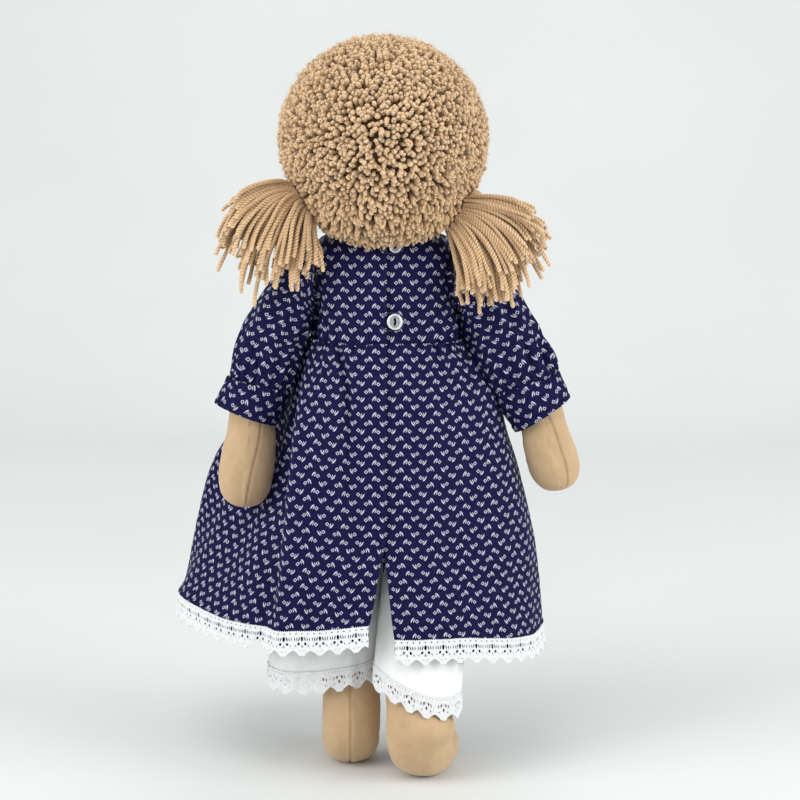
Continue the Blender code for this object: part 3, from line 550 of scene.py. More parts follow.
def lace_cotton():
    s = Shader("white_lace", 0.85)
    u, v = s.uv()
    u, v = s.mul(u, 1000.0), s.mul(v, 1000.0)
    flat = s.xyz(u, v)
    # bobbin threads: short slanted strokes that change direction from place to place
    a = s.math("SINE", s.mul(s.add(u, s.mul(v, 0.9)), TAU / 0.42))
    b = s.math("SINE", s.mul(s.sub(u, s.mul(v, 0.9)), TAU / 0.42))
    pick = s.range(s.noise(flat, 0.7, 1.0), 0.45, 0.55, 0.0, 1.0)
    h = s.add(s.mul(a, pick), s.mul(b, s.sub(1.0, pick)))
    h = s.add(s.mul(h, 0.5), 0.5)
    fine = s.noise(flat, 3.0, 3.0, 0.6)
    s.colour(s.mix(s.mul(h, 0.8), (0.76, 0.77, 0.79), (0.92, 0.925, 0.93)))
    s.normal(s.bump(s.add(h, s.mul(fine, 0.6)), 0.6, 0.0002))
    s.sheen(0.15, 0.5)
    return s.m


def jersey(name="jersey", blush=False):
    s = Shader(name, 0.86)
    u, v = s.uv()
    u, v = s.mul(u, 1000.0), s.mul(v, 1000.0)
    flat = s.xyz(u, v)
    # fine knit: columns of small V stitches
    col = s.math("ABSOLUTE", s.math("SINE", s.mul(u, math.pi / 0.62)))
    slant = s.add(v, s.mul(col, 0.28))
    row = s.math("SINE", s.mul(slant, TAU / 0.5))
    knit = s.add(s.mul(col, 0.5), s.mul(row, 0.25))
    p = s.obj()
    fuzz = s.noise(p, 2600.0, 4.0, 0.65)
    mott = s.noise(p, 120.0, 3.0, 0.6)
    big = s.noise(p, 22.0, 2.0)
    c = s.mix(s.range(mott, 0.3, 0.7, 0.0, 1.0), (0.485, 0.332, 0.184), (0.57, 0.402, 0.236))
    c = s.mix(s.range(fuzz, 0.3, 0.75, 0.0, 0.6), c, (0.66, 0.495, 0.315))
    c = s.mix(s.mul(s.sub(1.0, s.math("MULTIPLY", knit, 1.2, clamp=True)), 0.26), c, (0.31, 0.18, 0.085))
    c = s.mix(s.range(big, 0.35, 0.65, 0.0, 0.16), c, (0.43, 0.265, 0.135))
    seam = s.attr("seam")
    c = s.mix(s.mul(seam, 0.42), c, (0.27, 0.155, 0.07))
    if blush:
        c = s.mix(s.mul(s.attr("blush"), 0.45), c, (0.60, 0.22, 0.14))
    s.colour(c)
    h = s.add(s.mul(knit, 0.5), s.mul(fuzz, 0.9))
    s.normal(s.bump(h, 0.4, 0.0002))
    s.sheen(0.35, 0.45, (1.0, 0.9, 0.78))
    s.b.inputs["Subsurface Weight"].default_value = 0.0
    return s.m


def yarn(name, dark, mid, light, tip):
    s = Shader(name, 0.9)
    u, v = s.uv()
    tone = s.attr("tone")
    crest = s.attr("crest")
    run = s.attr("run")
    p = s.obj()
    fibre = s.noise(s.xyz(s.mul(u, 9.0), s.mul(v, 1.3), s.mul(tone, 40.0)), 1.6, 4.0, 0.65)
    fluff = s.noise(p, 1500.0, 3.0, 0.65)
    c = s.ramp(tone, [(0.0, dark), (0.5, mid), (1.0, light)])
    c = s.mix(s.range(fibre, 0.3, 0.72, 0.0, 0.5), c, light)
    # painted shade: the valleys between the plies are darkened towards the dark colour, from the crest attribute
    c = s.mix(s.range(crest, 0.0, 0.75, 0.9, 0.0), c, dark)
    c = s.mix(s.range(fluff, 0.5, 0.8, 0.0, 0.35), c, tip)
    c = s.mix(s.range(run, 0.93, 1.0, 0.0, 0.45), c, tip)
    s.colour(c)
    s.normal(s.bump(s.add(s.mul(fibre, 0.7), s.mul(fluff, 0.8)), 0.7, 0.0004))
    s.sheen(0.7, 0.5, (1.0, 0.87, 0.69))
    return s.m


def plain_thread(name, dark, light, scale=900.0, rough=0.75):
    s = Shader(name, rough)
    p = s.obj()
    n = s.noise(p, scale, 4.0, 0.6)
    s.colour(s.mix(s.range(n, 0.3, 0.7, 0.0, 1.0), dark, light))
    s.normal(s.bump(n, 0.6, 0.0003))
    s.sheen(0.15, 0.5)
    return s.m


def pearl():
    s = Shader("pearl_button", 0.22)
    p = s.obj()
    n = s.noise(p, 160.0, 3.0, 0.5, 1.5)
    c = s.ramp(n, [(0.25, (0.50, 0.52, 0.52)), (0.5, (0.70, 0.70, 0.68)), (0.75, (0.80, 0.80, 0.80))])
    inner = s.mix(n, (0.20, 0.215, 0.225), (0.36, 0.375, 0.385))
    s.colour(s.mix(s.range(s.attr("ring"), 0.5, 0.72, 0.0, 1.0), inner, c))
    s.rough(s.range(n, 0.3, 0.7, 0.16, 0.32))
    s.normal(s.bump(n, 0.12, 0.0003))
    s.b.inputs["Coat Weight"].default_value = 0.4
    s.b.inputs["Coat Roughness"].default_value = 0.12
    return s.m


NAVY = printed_cotton()
COTTON = white_cotton()
LACE = lace_cotton()
JERSEY = jersey()
FACE = jersey("jersey_face", True)
YARN = yarn("camel_yarn", (0.185, 0.098, 0.042), (0.625, 0.40, 0.213), (0.79, 0.55, 0.325), (0.88, 0.68, 0.45))
# painted shade: yarn coloured dark, for the shadowed ground between the hair's ends
YARN_PAINTED_SHADE = plain_thread("yarn_shade", (0.06, 0.03, 0.013), (0.16, 0.085, 0.04), 700.0, 0.95)
WOOL = plain_thread("wool_filling", (0.72, 0.66, 0.55), (0.90, 0.86, 0.78), 350.0, 0.95)
THREAD = plain_thread("cotton_thread", (0.55, 0.5, 0.42), (0.8, 0.76, 0.68))
NAVY_THREAD = plain_thread("navy_thread", (0.008, 0.008, 0.04), (0.03, 0.03, 0.12))
EYE = plain_thread("eye_thread", (0.02, 0.04, 0.12), (0.06, 0.11, 0.26))
MOUTH = plain_thread("mouth_thread", (0.38, 0.06, 0.05), (0.62, 0.14, 0.11))
ELASTIC = plain_thread("elastic", (0.66, 0.66, 0.64), (0.88, 0.88, 0.86))
PEARL = pearl()
JERSEY_PLAIN = plain_thread("jersey_neck", (0.40, 0.25, 0.135), (0.52, 0.35, 0.20), 1500.0, 0.88)
JERSEY_THREAD = plain_thread("seam_thread", (0.33, 0.20, 0.105), (0.48, 0.32, 0.19), 1500.0, 0.85)


def ground_mat():
    s = Shader("pale_ground", 0.75)
    p = s.obj()
    n = s.noise(p, 3.0, 3.0)
    f = s.noise(p, 900.0, 2.0)
    s.colour(s.mix(s.range(n, 0.3, 0.7, 0.0, 1.0), (0.725, 0.746, 0.738), (0.75, 0.771, 0.763)))
    s.normal(s.bump(f, 0.05, 0.0001))
    return s.m


GROUND = ground_mat()

# ------------------------------------------------------------------ shape tables, the same as the solids'
TRUNK = [
    (192.0, 0.0, 0.0), (192.0, 24.0, 16.0), (193.6, 34.0, 23.5), (199.0, 38.5, 26.6),
    (216.0, 40.5, 28.0), (240.0, 41.0, 28.0), (262.0, 40.0, 27.5), (278.0, 37.5, 26.8),
    (290.0, 33.5, 25.6), (300.0, 30.8, 24.4), (308.0, 29.3, 22.4), (314.0, 26.5, 20.4),
    (318.0, 18.4, 18.2),
]
ARM = {
    1: [
        (61.6, 278.0, 11.2, 12.0, 0.5), (70.0, 260.0, 13.2, 12.6, 1.5), (76.0, 240.0, 13.4, 12.4, 3.0),
        (80.0, 220.0, 13.4, 12.0, 4.0), (81.5, 207.0, 13.8, 11.6, 4.5), (83.5, 194.0, 15.0, 11.4, 5.0),
        (85.3, 182.0, 15.4, 11.2, 5.0), (86.0, 173.0, 14.6, 10.6, 5.0), (86.2, 166.0, 11.8, 8.8, 5.0),
        (86.3, 161.6, 7.2, 5.6, 5.0), (86.3, 159.6, 0.0, 0.0, 5.0),
    ],
    -1: [
        (66.0, 281.5, 11.6, 12.2, 0.5), (78.0, 263.0, 13.0, 12.6, 1.5), (87.0, 242.0, 13.4, 12.4, 3.0),
        (93.5, 222.0, 13.4, 12.0, 4.0), (96.7, 209.0, 13.8, 11.6, 4.5), (99.8, 197.0, 15.2, 11.4, 5.0),
        (102.6, 188.0, 15.6, 11.2, 5.0), (104.8, 181.0, 14.4, 10.4, 5.0), (106.4, 175.4, 11.4, 8.6, 5.0),
        (107.4, 172.0, 7.0, 5.4, 5.0), (107.8, 170.2, 0.0, 0.0, 5.0),
    ],
}
SHOULDER = np.array((45.0, 0.0, 303.0))
HIP = np.array((21.5, 0.0, 169.0))
LEGS = {1: (19.0, 3.0, 20.5), -1: (43.5, 20.0, 18.6)}
ANKLE_Z = 32.6
BODICE = [
    (263.0, 45.0, 31.0, 2.2), (270.0, 44.2, 30.8, 2.3), (276.0, 43.4, 30.6, 2.4), (281.0, 43.0, 30.4, 2.6),
    (284.5, 42.9, 30.2, 2.8), (289.0, 42.8, 29.8, 3.0), (296.0, 42.7, 29.0, 3.3), (303.0, 42.6, 28.0, 3.4),
    (310.0, 42.5, 26.5, 3.4), (316.5, 42.0, 24.6, 3.2), (320.5, 41.0, 23.0, 3.0), (323.0, 39.0, 22.0, 2.8),
    (325.5, 34.5, 21.3, 2.5), (328.0, 27.5, 20.5, 2.2),
]
SLEEVE = {
    1: [
        (41.0, 322.5, 41.4, 282.0, 24.5, 0.0), (49.5, 320.0, 42.6, 279.8, 23.8, 0.0), (59.5, 311.0, 43.0, 277.0, 22.0, 0.0),
        (67.5, 298.5, 43.6, 272.5, 20.8, 0.0), (76.3, 284.5, 45.0, 266.0, 20.2, 0.5), (84.4, 272.0, 47.2, 259.0, 19.8, 1.0),
        (89.2, 261.0, 50.0, 250.5, 19.0, 2.0), (91.8, 250.5, 53.0, 241.8, 17.8, 3.0), (93.8, 240.4, 56.6, 231.8, 15.6, 3.4),
    ],
    -1: [
        (41.0, 322.5, 41.4, 282.0, 24.5, 0.0), (50.5, 320.5, 44.0, 279.8, 23.8, 0.0), (62.5, 313.0, 45.0, 277.0, 22.0, 0.0),
        (71.5, 302.5, 45.8, 273.0, 20.8, 0.0), (81.0, 289.8, 47.0, 267.5, 20.2, 0.5), (89.5, 277.0, 49.4, 260.0, 19.8, 1.0),
        (96.2, 265.2, 52.6, 251.0, 19.0, 2.0), (101.3, 254.2, 57.2, 241.8, 17.8, 3.0), (105.2, 243.0, 63.6, 230.0, 15.6, 3.4),
    ],
}
CUFF = {
    1: [(95.0, 239.2, 57.2, 231.0, 15.2, 3.4), (99.2, 230.5, 61.5, 219.5, 15.4, 4.0), (102.0, 222.0, 66.0, 208.5, 15.6, 4.2)],
    -1: [(105.4, 242.1, 64.6, 229.3, 15.2, 3.4), (109.0, 234.5, 71.6, 217.4, 15.4, 4.0), (111.2, 227.5, 79.0, 206.5, 15.6, 4.2)],
}
PLAN = {
    222: "0,41 15,42.5 31,41.5 44,38 50,30 53,20 54.5,8 56,-5 59,-16 66,-25 74,-36 69,-46 52,-50 34,-50 16,-51 0,-52"
    " -14,-51 -30,-47 -45,-38 -57,-25 -65,-8 -62,9 -53,23 -40,32 -26,38 -13,41",
    185: "0,49 18,51 38,50.5 53,47.5 59,40 61,29 62,17 64,4 69,-9 83,-21 104,-38 99,-57 76,-64 50,-64 24,-65 0,-67"
    " -20,-64 -42,-56 -60,-42 -73,-25 -79,-7 -75,13 -63,28 -47,38 -29,45 -14,48.5",
    140: "0,54.5 21,56 42,55.5 56,53 62,46 67,38 72,28 78,13 88,-4 105,-22 119,-46 108,-70 82,-79 54,-75 26,-77 0,-79"
    " -24,-76 -48,-66 -70,-49 -85,-28 -93,-6 -88,15 -74,31 -55,42 -34,50 -17,54",
    95: "0,57 22,58 43,57.5 58,55 67,48 77,41 90,32 105,19 119,0 129,-24 128,-52 113,-76 86,-84 56,-80 27,-81 0,-84"
    " -26,-80 -51,-69 -75,-51 -90,-29 -99,-6 -93,16 -78,34 -58,47 -36,56 -17,58",
}
plans = {
    z: np.array([[float(n) for n in p.split(",")] for p in text.split()]) for z, text in PLAN.items()
}
_ang = np.arctan2(plans[222][:, 0] / 64, plans[222][:, 1] / 46)
plans[262] = np.stack(oval(45.0, 31.0, _ang, 2.2), 1)
LEVELS = [262, 222, 185, 140, 95]
FRONT, COUNT = 15, 26
BLOOM = {
    1: [
        (253.0, 42.3, 0.0, -29.3, 29.3), (238.0, 44.0, 0.0, -31.5, 31.5), (218.0, 46.5, 0.0, -34.0, 34.0),
        (198.0, 48.0, 0.0, -36.5, 36.5), (180.0, 49.0, 0.0, -37.0, 37.0), (165.0, 49.5, 0.0, -36.0, 34.0),
        (152.0, 50.5, 0.7, -30.0, 29.0), (140.0, 52.0, 1.0, -27.0, 29.0), (115.0, 58.0, 1.0, -23.0, 31.5),
        (88.0, 66.0, 0.8, -19.0, 35.0), (64.0, 71.0, 0.4, -16.0, 38.6),
    ],
    -1: [
        (253.0, 42.3, 0.0, -29.3, 29.3), (238.0, 44.0, 0.0, -31.5, 31.5), (218.0, 46.5, 0.0, -34.0, 34.0),
        (198.0, 48.0, 0.0, -36.5, 36.5), (180.0, 48.5, 0.0, -36.0, 37.0), (165.0, 48.5, 0.0, -32.0, 37.0),
        (152.0, 48.5, 0.7, -26.0, 37.0), (140.0, 48.5, 1.0, -20.0, 38.0), (115.0, 49.0, 0.7, -14.0, 47.0),
        (88.0, 49.0, 0.2, -4.0, 52.3), (54.5, 45.8, 0.0, 6.0, 61.2),
    ],
}
SWEEP = {1: [0] * 11, -1: [0, 0, 0, 0, 0, 0, 0, 2.0, 5.0, 8.0, 10.0]}
RAISE = {1: [0, 0, 0, 0, 0, 0, 0, 0, 1.5, 4.0, 8.0], -1: [0, 0, 0, 0, 0, 0, 0, 0, 3.0, 11.0, 21.0]}
CLOSE = [0, 0, 0, 0, 0, 0.12, 0.8, 1, 1, 1, 1]
SEAM = 0.22


def arc(P, axis):
    """Running length of points along an axis."""
    d = np.linalg.norm(np.diff(P, axis=axis), axis=-1)
    pad = [(0, 0), (0, 0)]
    pad[axis] = (1, 0)
    return np.cumsum(np.pad(d, pad), axis=axis)


def normals_of(P, closed=False):
    """Normals of a sheet of points rows x columns x 3."""
    if closed:
        du = np.roll(P, -1, 1) - np.roll(P, 1, 1)
    else:
        du = np.gradient(P, axis=1)
    dv = np.gradient(P, axis=0)
    return unit(np.cross(du, dv))


def outward(P, n, centre):
    """n turned so that most of it looks away from centre, an array like P."""
    if np.sum(n * (P - centre)) < 0:
        return -n
    return n


# ------------------------------------------------------------------ head
hp = [(3.0, 312.1), (8.0, 313.9), (12.5, 318.0), (15.2, 324.5), (15.6, 329.0), (16.2, 333.0), (19.5, 336.6), (26.0, 341.2)]
hp += [
    (HEAD_R * math.sin(t), HEAD_Z - HEAD_R * math.cos(t))
    for t in [math.radians(a) for a in range(43, 176, 11)]
]
hp += [(6.0, HEAD_Z + HEAD_R - 0.36), (0.01, HEAD_Z + HEAD_R)]
t = np.linspace(0, 1, 150)
prof = rows_at(hp, t)
ang = np.arange(180) * TAU / 180
r, z = prof[:, :1], prof[:, 1:]
r = np.maximum(r, 0.01)
X, Y = r * np.sin(ang), r * np.cos(ang)
Z = np.broadcast_to(z, X.shape)
P = np.stack([X, Y, Z], -1)
n = unit(P - np.array((0, 0, HEAD_Z)))
# a small nose, full cheeks and a soft dip at the eyes
front = step(0.0, -20.0, Y)
d = np.hypot(X / 5.2, (Z - 377) / 5.0)
lift = 2.2 * np.exp(-d * d)
for sx in (-1, 1):
    d = np.hypot((X - sx * 21) / 15.0, (Z - 367) / 12.0)
    lift = lift + 1.3 * np.exp(-d * d)
    d = np.hypot((X - sx * 15.5) / 8.0, (Z - 384.5) / 6.0)
    lift = lift - 0.8 * np.exp(-d * d)
lift = lift + 0.25 * noise2(X, Z, 5, 14.0)
P = P + n * (lift * front)[..., None]
blush = np.zeros_like(X)
for sx in (-1, 1):
    d = np.hypot((X - sx * 23) / 11.0, (Z - 366) / 9.5)
    blush = blush + np.exp(-d * d)
blush = blush * front
v = arc(P[:, :1], 0)[:, :1]
uv = np.stack([np.broadcast_to(np.arange(181) / 180 * TAU * 0.046, (150, 181)), np.broadcast_to(v * 0.001, (150, 181))], -1)
head = grid_mesh("head_cover", P, FACE, uv, True, attrs={"seam": np.zeros(X.size), "blush": blush})
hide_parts("head_skin")
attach(head, "head")


def face_point(x, z, out=0.0):
    """A point on the face."""
    x, z = np.asarray(x, float), np.asarray(z, float)
    y = -np.sqrt(np.maximum(HEAD_R**2 - x**2 - (z - HEAD_Z) ** 2, 0))
    lift = 2.2 * np.exp(-(x / 5.2) ** 2 - ((z - 377) / 5.0) ** 2)
    for sx in (-1, 1):
        lift = lift + 1.3 * np.exp(-(((x - sx * 21) / 15.0) ** 2) - ((z - 367) / 12.0) ** 2)
        lift = lift - 0.8 * np.exp(-(((x - sx * 15.5) / 8.0) ** 2) - ((z - 384.5) / 6.0) ** 2)
    p = np.stack([x, y, z], -1)
    return p + unit(p - np.array((0, 0, HEAD_Z))) * (lift + out)[..., None]


def stitches(name, lines, radius, mat, body, node):
    """Satin stitches: short threads from a to b, humped over the jersey."""
    paths = []
    for (x0, z0), (x1, z1) in lines:
        s = np.linspace(0, 1, 9)
        hump = np.sin(s * math.pi) ** 0.5 * 0.5 - 0.25
        paths.append(face_point(x0 + (x1 - x0) * s, z0 + (z1 - z0) * s, hump))
    ob = tubes(name, paths, radius, 8, mat, 0.1, 1.1, plies=2, cut=False)
    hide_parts(node)
    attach(ob, body)
    return ob


for sx, word in ((1, "left"), (-1, "right")):
    lines = []
    for k in range(-6, 7):
        x = sx * 15.5 + k * 0.45
        h = 1.75 * math.sqrt(max(0.05, 1 - (k / 6.6) ** 2))
        lines.append(((x + 0.1, 384.2 - h), (x - 0.1, 384.2 + h)))
    ob = stitches("eye_stitches_" + word, lines, 0.26, EYE, "head", "eye_" + word)
lines = []
for k in range(-9, 10):
    x = k * 0.47
    zc = 364.2 + 0.9 * (k / 9) ** 2
    h = 0.75 * math.sqrt(max(0.08, 1 - (k / 9.6) ** 2))
    lines.append(((x, zc - h), (x + 0.2, zc + h)))
ob = stitches("mouth_stitches", lines, 0.27, MOUTH, "head", "mouth")

# ------------------------------------------------------------------ hair over the crown and back of the head
TILT = math.radians(35)
AX = np.array((0.0, math.cos(TILT), math.sin(TILT)))
AXU = np.array((1.0, 0.0, 0.0))
AXV = np.cross(AX, AXU)


def cap_dirs(count, spread):
    """Directions spread evenly over the cap round the hair's axis."""
    k = np.arange(count) + 0.5
    c = 1 - (1 - math.cos(spread)) * k / count
    a = k * math.pi * (3 - math.sqrt(5))
    s = np.sqrt(1 - c * c)
    return AX * c[:, None] + (AXU * np.cos(a)[:, None] + AXV * np.sin(a)[:, None]) * s[:, None]


rng = np.random.default_rng(7)
# the ground that the yarn ends grow from, with painted shade: yarn coloured as dark as it looks in the shadow between
# the ends
t = np.linspace(0, math.radians(101), 60)
a = np.arange(120) * TAU / 120
R = 56.3 - 3.2 * step(math.radians(84), math.radians(101), t)
dirs = (
    AX * np.cos(t)[:, None, None]
    + (AXU * np.cos(a)[None, :, None] + AXV * np.sin(a)[None, :, None]) * np.sin(t)[:, None, None]
)
P = dirs * R[:, None, None] + np.array((0, 0.5, HEAD_Z - 2.6))
P += dirs * (noise2(P[..., 0] + P[..., 1], P[..., 2], 3, 4.0) * 0.8)[..., None]
under = grid_mesh("hair_ground", P, YARN_PAINTED_SHADE, None, True)
under = thicken(under, 3.4)
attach(under, "head")

COUNT_TUFT = 4500
D = cap_dirs(COUNT_TUFT, math.radians(104.0))
D = unit(D + rng.normal(0, 0.015, D.shape))
edge = np.arccos(np.clip(D @ AX, -1, 1))
tip_r = 61.4 + rng.normal(0, 0.35, COUNT_TUFT)
tip_r += 0.55 * noise2(D[:, 0] * 40 + D[:, 1] * 17, D[:, 2] * 40, 11, 6.5)
tip_r -= 2.6 * step(math.radians(88), math.radians(104.0), edge) * step(0.2, -0.2, D[:, 2] * -1)
tip_r = np.minimum(tip_r, 62.3)
nape = step(-0.45, -0.8, D[:, 2])
root_r = 54.2 + 2.3 * nape
root = D * root_r[:, None] + rng.normal(0, 0.5, D.shape)
lean = unit(np.stack([
    noise2(D[:, 0] * 60, D[:, 2] * 60, 21, 13.0),
    noise2(D[:, 0] * 60, D[:, 2] * 60, 22, 13.0),
    noise2(D[:, 0] * 60, D[:, 2] * 60, 23, 13.0) - 0.15,
], 1)) * 0.028 + rng.normal(0, 0.022, D.shape)
lean = lean - D * (lean * D).sum(1, keepdims=True)
K = 11
s = np.linspace(0, 1, K) ** 0.9
centre = np.array((0.0, 0.0, HEAD_Z))
path = root[:, None] + (D * (tip_r - root_r)[:, None])[:, None] * s[None, :, None]
path = path + (lean * 62)[:, None] * (s**2)[None, :, None] * 0.55
# the ends at the nape hang over the neckline
path[..., 2] -= nape[:, None] * 5.4 * s[None] ** 1.5
path[..., 1] += nape[:, None] * 5.2 * s[None] ** 1.5
path[..., 0] = path[..., 0] * 1.012 + 0.6
path = path + centre + (0, 0.5, -2.6)
size = rng.uniform(1.16, 1.6, COUNT_TUFT)
shape = np.interp(s, [0, 0.45, 0.72, 0.86, 0.95, 1.0], [0.8, 0.92, 1.06, 1.1, 0.86, 0.42])
rad = size[:, None] * shape[None, :]
tone = np.clip(rng.normal(0.5, 0.24, COUNT_TUFT), 0, 1)
phase = rng.uniform(0, TAU, COUNT_TUFT)
third = COUNT_TUFT // 3
order = rng.permutation(COUNT_TUFT)
for word, pick in (("a", order[:third]), ("b", order[third : 2 * third]), ("c", order[2 * third :])):
    ob = tubes("hair_ends_" + word, path[pick], rad[pick], 10, YARN, 0.26, 3.8, phase[pick], tone[pick], 0.1, plies=2)
    if word == "a":
        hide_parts("hair_pile")
    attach(ob, "head")


def fuzz(name, starts, dirs, length, seed, body, radius=0.055, bend=0.5):
    """Loose fibres that stand out of the yarn."""
    g = np.random.default_rng(seed)
    N = len(starts)
    L = length * g.uniform(0.45, 1.2, N)
    side = unit(g.normal(0, 1, (N, 3)))
    s = np.linspace(0, 1, 5)
    curl = unit(np.cross(dirs, side))
    p = (
        starts[:, None]
        + dirs[:, None] * (L[:, None] * s)[..., None]
        + side[:, None] * (L[:, None] * bend * s**2)[..., None]
        + curl[:, None] * (L[:, None] * bend * 0.5 * np.sin(s * 3))[..., None]
    )
    ob = tubes(name, p, radius * (1 - 0.6 * s)[None], 3, YARN, tone=g.uniform(0.55, 1, N), cut=False)
    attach(ob, body)
    return ob


pick = rng.integers(0, COUNT_TUFT, 21000)
starts = path[pick, -2] + rng.normal(0, 0.9, (21000, 3))
fuzz("hair_fluff", starts, unit(D[pick] + rng.normal(0, 0.7, (21000, 3))), 1.3, 31, "head")

# ------------------------------------------------------------------ pigtails
def from_photo(u, v, y):
    """The point of the doll at depth y that the camera sees at u, v of an 800 pixel wide view."""
    a, b = (u - 400) / 1888.9, (400 - v) / 1888.9
    d = np.array((-a, -0.98766 - 0.15633 * b, -0.15633 + 0.98766 * b))
    c = np.array((-15.3, 1143.5, 404.4))
    k = (y + BY - c[1]) / d[1]
    return c + d * k - (BX, BY, 0.0)


FAN = {  # share round the fan: root, way, end in pixels
    1: [
        (291, 184, 264, 176, 220, 205), (293, 187, 252, 182, 222, 226), (295, 190, 246, 186, 218, 246),
        (297, 192, 248, 188, 222, 262), (298, 194, 256, 189, 232, 280), (299, 197, 268, 192, 247, 293),
        (301, 200, 281, 198, 261, 297), (304, 204, 294, 206, 281, 290), (308, 210, 307, 222, 299, 289),
        (313, 217, 316, 238, 321, 271),
    ],
    -1: [
        (464, 199, 507, 192, 549, 216), (465, 202, 513, 200, 550, 236), (464, 205, 517, 204, 549, 258),
        (462, 208, 517, 214, 540, 276), (460, 212, 508, 223, 524, 295), (457, 216, 499, 234, 508, 309),
        (454, 221, 485, 241, 492, 312), (450, 226, 472, 250, 478, 309), (446, 230, 459, 258, 463, 302),
    ],
}
LAYERS = [  # depth at the root, on the way and at the end, how many strands, share of the length
    (16.0, 25.0, 28.0, 18, 0.92),
    (17.5, 28.0, 31.0, 21, 1.0),
    (19.0, 31.0, 34.5, 23, 1.0),
    (20.5, 34.0, 37.5, 23, 0.96),
    (22.0, 36.5, 40.5, 22, 0.93),
    (23.5, 39.0, 43.0, 19, 0.84),
]
for side, word in ((1, "left"), (-1, "right")):
    g = np.random.default_rng(50 + side)
    fan = np.array(FAN[side], float)
    paths = []
    for li, (y0, y1, y2, n, share) in enumerate(LAYERS):
        ts = (np.arange(n) + 0.5) / n + g.uniform(-0.25, 0.25, n) / n
        if li in (0, 5):
            ts = ts * 0.86 + 0.08
        c = rows_at(fan, ts)
        for row in c:
            ru, rv, wu, wv, eu, ev = row
            k = share * g.uniform(0.82, 1.01)
            j = g.uniform(-1, 1, 8)
            p0 = np.array(from_photo(ru + j[0] * 1.4, rv + j[1] * 1.8, y0 + j[4] * 0.6))
            p1 = np.array(from_photo(wu + j[2] * 8.0, wv + j[3] * 7.0, y1 + j[5] * 1.5))
            p2 = np.array(from_photo(eu + j[6] * 4.5, ev + j[7] * 4.2, y2 + j[4] * 1.5))
            s = np.linspace(0, k, 130)[:, None]
            p = p0 * (1 - s) ** 2 + 2 * p1 * s * (1 - s) + p2 * s**2
            # each thread wanders, and its end droops and curls
            w = s[:, 0] ** 1.5
            ph = g.uniform(0, TAU, 4)
            am = g.uniform(0.3, 1.0, 4)
            p = p + np.stack([
                am[0] * np.sin(s[:, 0] * 7 + ph[0]) * w * 2.4 + am[3] * np.sin(s[:, 0] * 17 + ph[3]) * w * 0.8,
                am[1] * np.sin(s[:, 0] * 8 + ph[1]) * w * 1.1,
                am[2] * np.sin(s[:, 0] * 9 + ph[2]) * w * 1.5 - 1.5 * s[:, 0] ** 6 - (am[1] - 0.65) * 6 * s[:, 0] ** 8,
            ], 1)
            paths.append(p)
    paths = np.array(paths)
    N = len(paths)
    s = np.linspace(0, 1, paths.shape[1])
    rad = g.uniform(1.16, 1.38, N)[:, None] * np.interp(s, [0, 0.1, 0.3, 0.96, 0.99, 1], [0.62, 0.8, 1, 1, 1.1, 0.85])[None]
    ob = tubes(
        "pigtail_strands_" + word, paths, rad, 12, YARN, 0.42, 3.9, g.uniform(0, TAU, N),
        np.clip(g.normal(0.55, 0.2, N), 0, 1), 0.1, plies=2,
    )
    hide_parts("pigtail_" + word)
    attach(ob, "pigtail_%s_body" % word)
    M = 3200
    i, k = g.integers(0, N, M), g.integers(10, 128, M)
    st = paths[i, k] + unit(g.normal(0, 1, (M, 3))) * 1.3
    fuzz("pigtail_fluff_" + word, st, unit(st - paths[i, k]), 1.6, 60 + side, "pigtail_%s_body" % word)
    # the yarn wound round the bundle's root
    out = unit(np.array((side * 0.72, 0.42, -0.55)))
    c = np.array((side * 52.5, 15.9, 348.3)) + out * 0.9
    e1 = unit(np.cross(out, (0, 1, 0)))
    e2 = np.cross(out, e1)
    a = np.linspace(0, TAU * 3.0, 90)
    wind = c + (np.cos(a)[:, None] * e1 + np.sin(a)[:, None] * e2) * 4.4 + out * ((a / TAU - 1.5) * 1.35)[:, None]
    ob = tubes("tie_winding_" + word, wind[None], 0.95, 10, YARN, 0.2, 3.6, tone=[0.45])
    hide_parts("hair_tie_" + word)
    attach(ob, "head")


# ------------------------------------------------------------------ trunk and neck
t = np.linspace(0, 1, 110)
tab = rows_at([(z, max(a, 0.01), max(b, 0.01)) for z, a, b in TRUNK[1:]], t)
ang = np.arange(120) * TAU / 120
X, Y = oval(tab[:, 1:2], tab[:, 2:3], ang[None])
Z = np.broadcast_to(tab[:, :1], X.shape)
P = np.stack([X, Y, Z], -1)
low = np.stack([X[:1] * 0.5, Y[:1] * 0.5, Z[:1] - 0.3], -1)
P = np.concatenate([low * (0.02, 0.02, 1), low, P], 0)
d = noise2(np.broadcast_to(ang * 30, P.shape[:2]), P[..., 2], 41, 16.0) * 0.5
P = P + unit(P * (1, 1, 0)) * d[..., None]
seam = bump1(np.broadcast_to(np.minimum(ang, TAU - ang), P.shape[:2]) * 33, 0.0, 0.8)
P = P - unit(P * (1, 1, 0)) * (seam * 0.5)[..., None]
v = arc(P[:, :1], 0)
uv = np.stack([np.broadcast_to(np.arange(121) / 120 * 0.22, (len(P), 121)), np.broadcast_to(v * 0.001, (len(P), 121))], -1)
ob = grid_mesh("torso_cover", P, JERSEY, uv, True, attrs={"seam": seam * 0.7})
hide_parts("torso_skin")
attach(ob, "torso")

# ------------------------------------------------------------------ arms and hands
ARM_SEAM = {  # height, angle from the back towards the left side, in degrees
    1: [(150, -6), (168, -8), (190, -16), (214, -28), (260, -30), (330, -30)],
    -1: [(150, -22), (176, -22), (190, -25), (208, -23), (218, -15), (330, -12)],
}


def limb_table(points, top, way, radii, opening):
    rows = []
    for a in opening:
        q = math.radians(a)
        rows.append([*(top - way * radii[0] * math.cos(q)), *way, radii[0] * math.sin(q), radii[1] * math.sin(q)])
    line = [top] + [np.array(p[:3]) for p in points]
    for i, p in enumerate(points):
        w = unit(line[min(i + 2, len(line) - 1)] - line[i])
        rows.append([*p[:3], *w, p[3], p[4]])
    return np.array(rows)


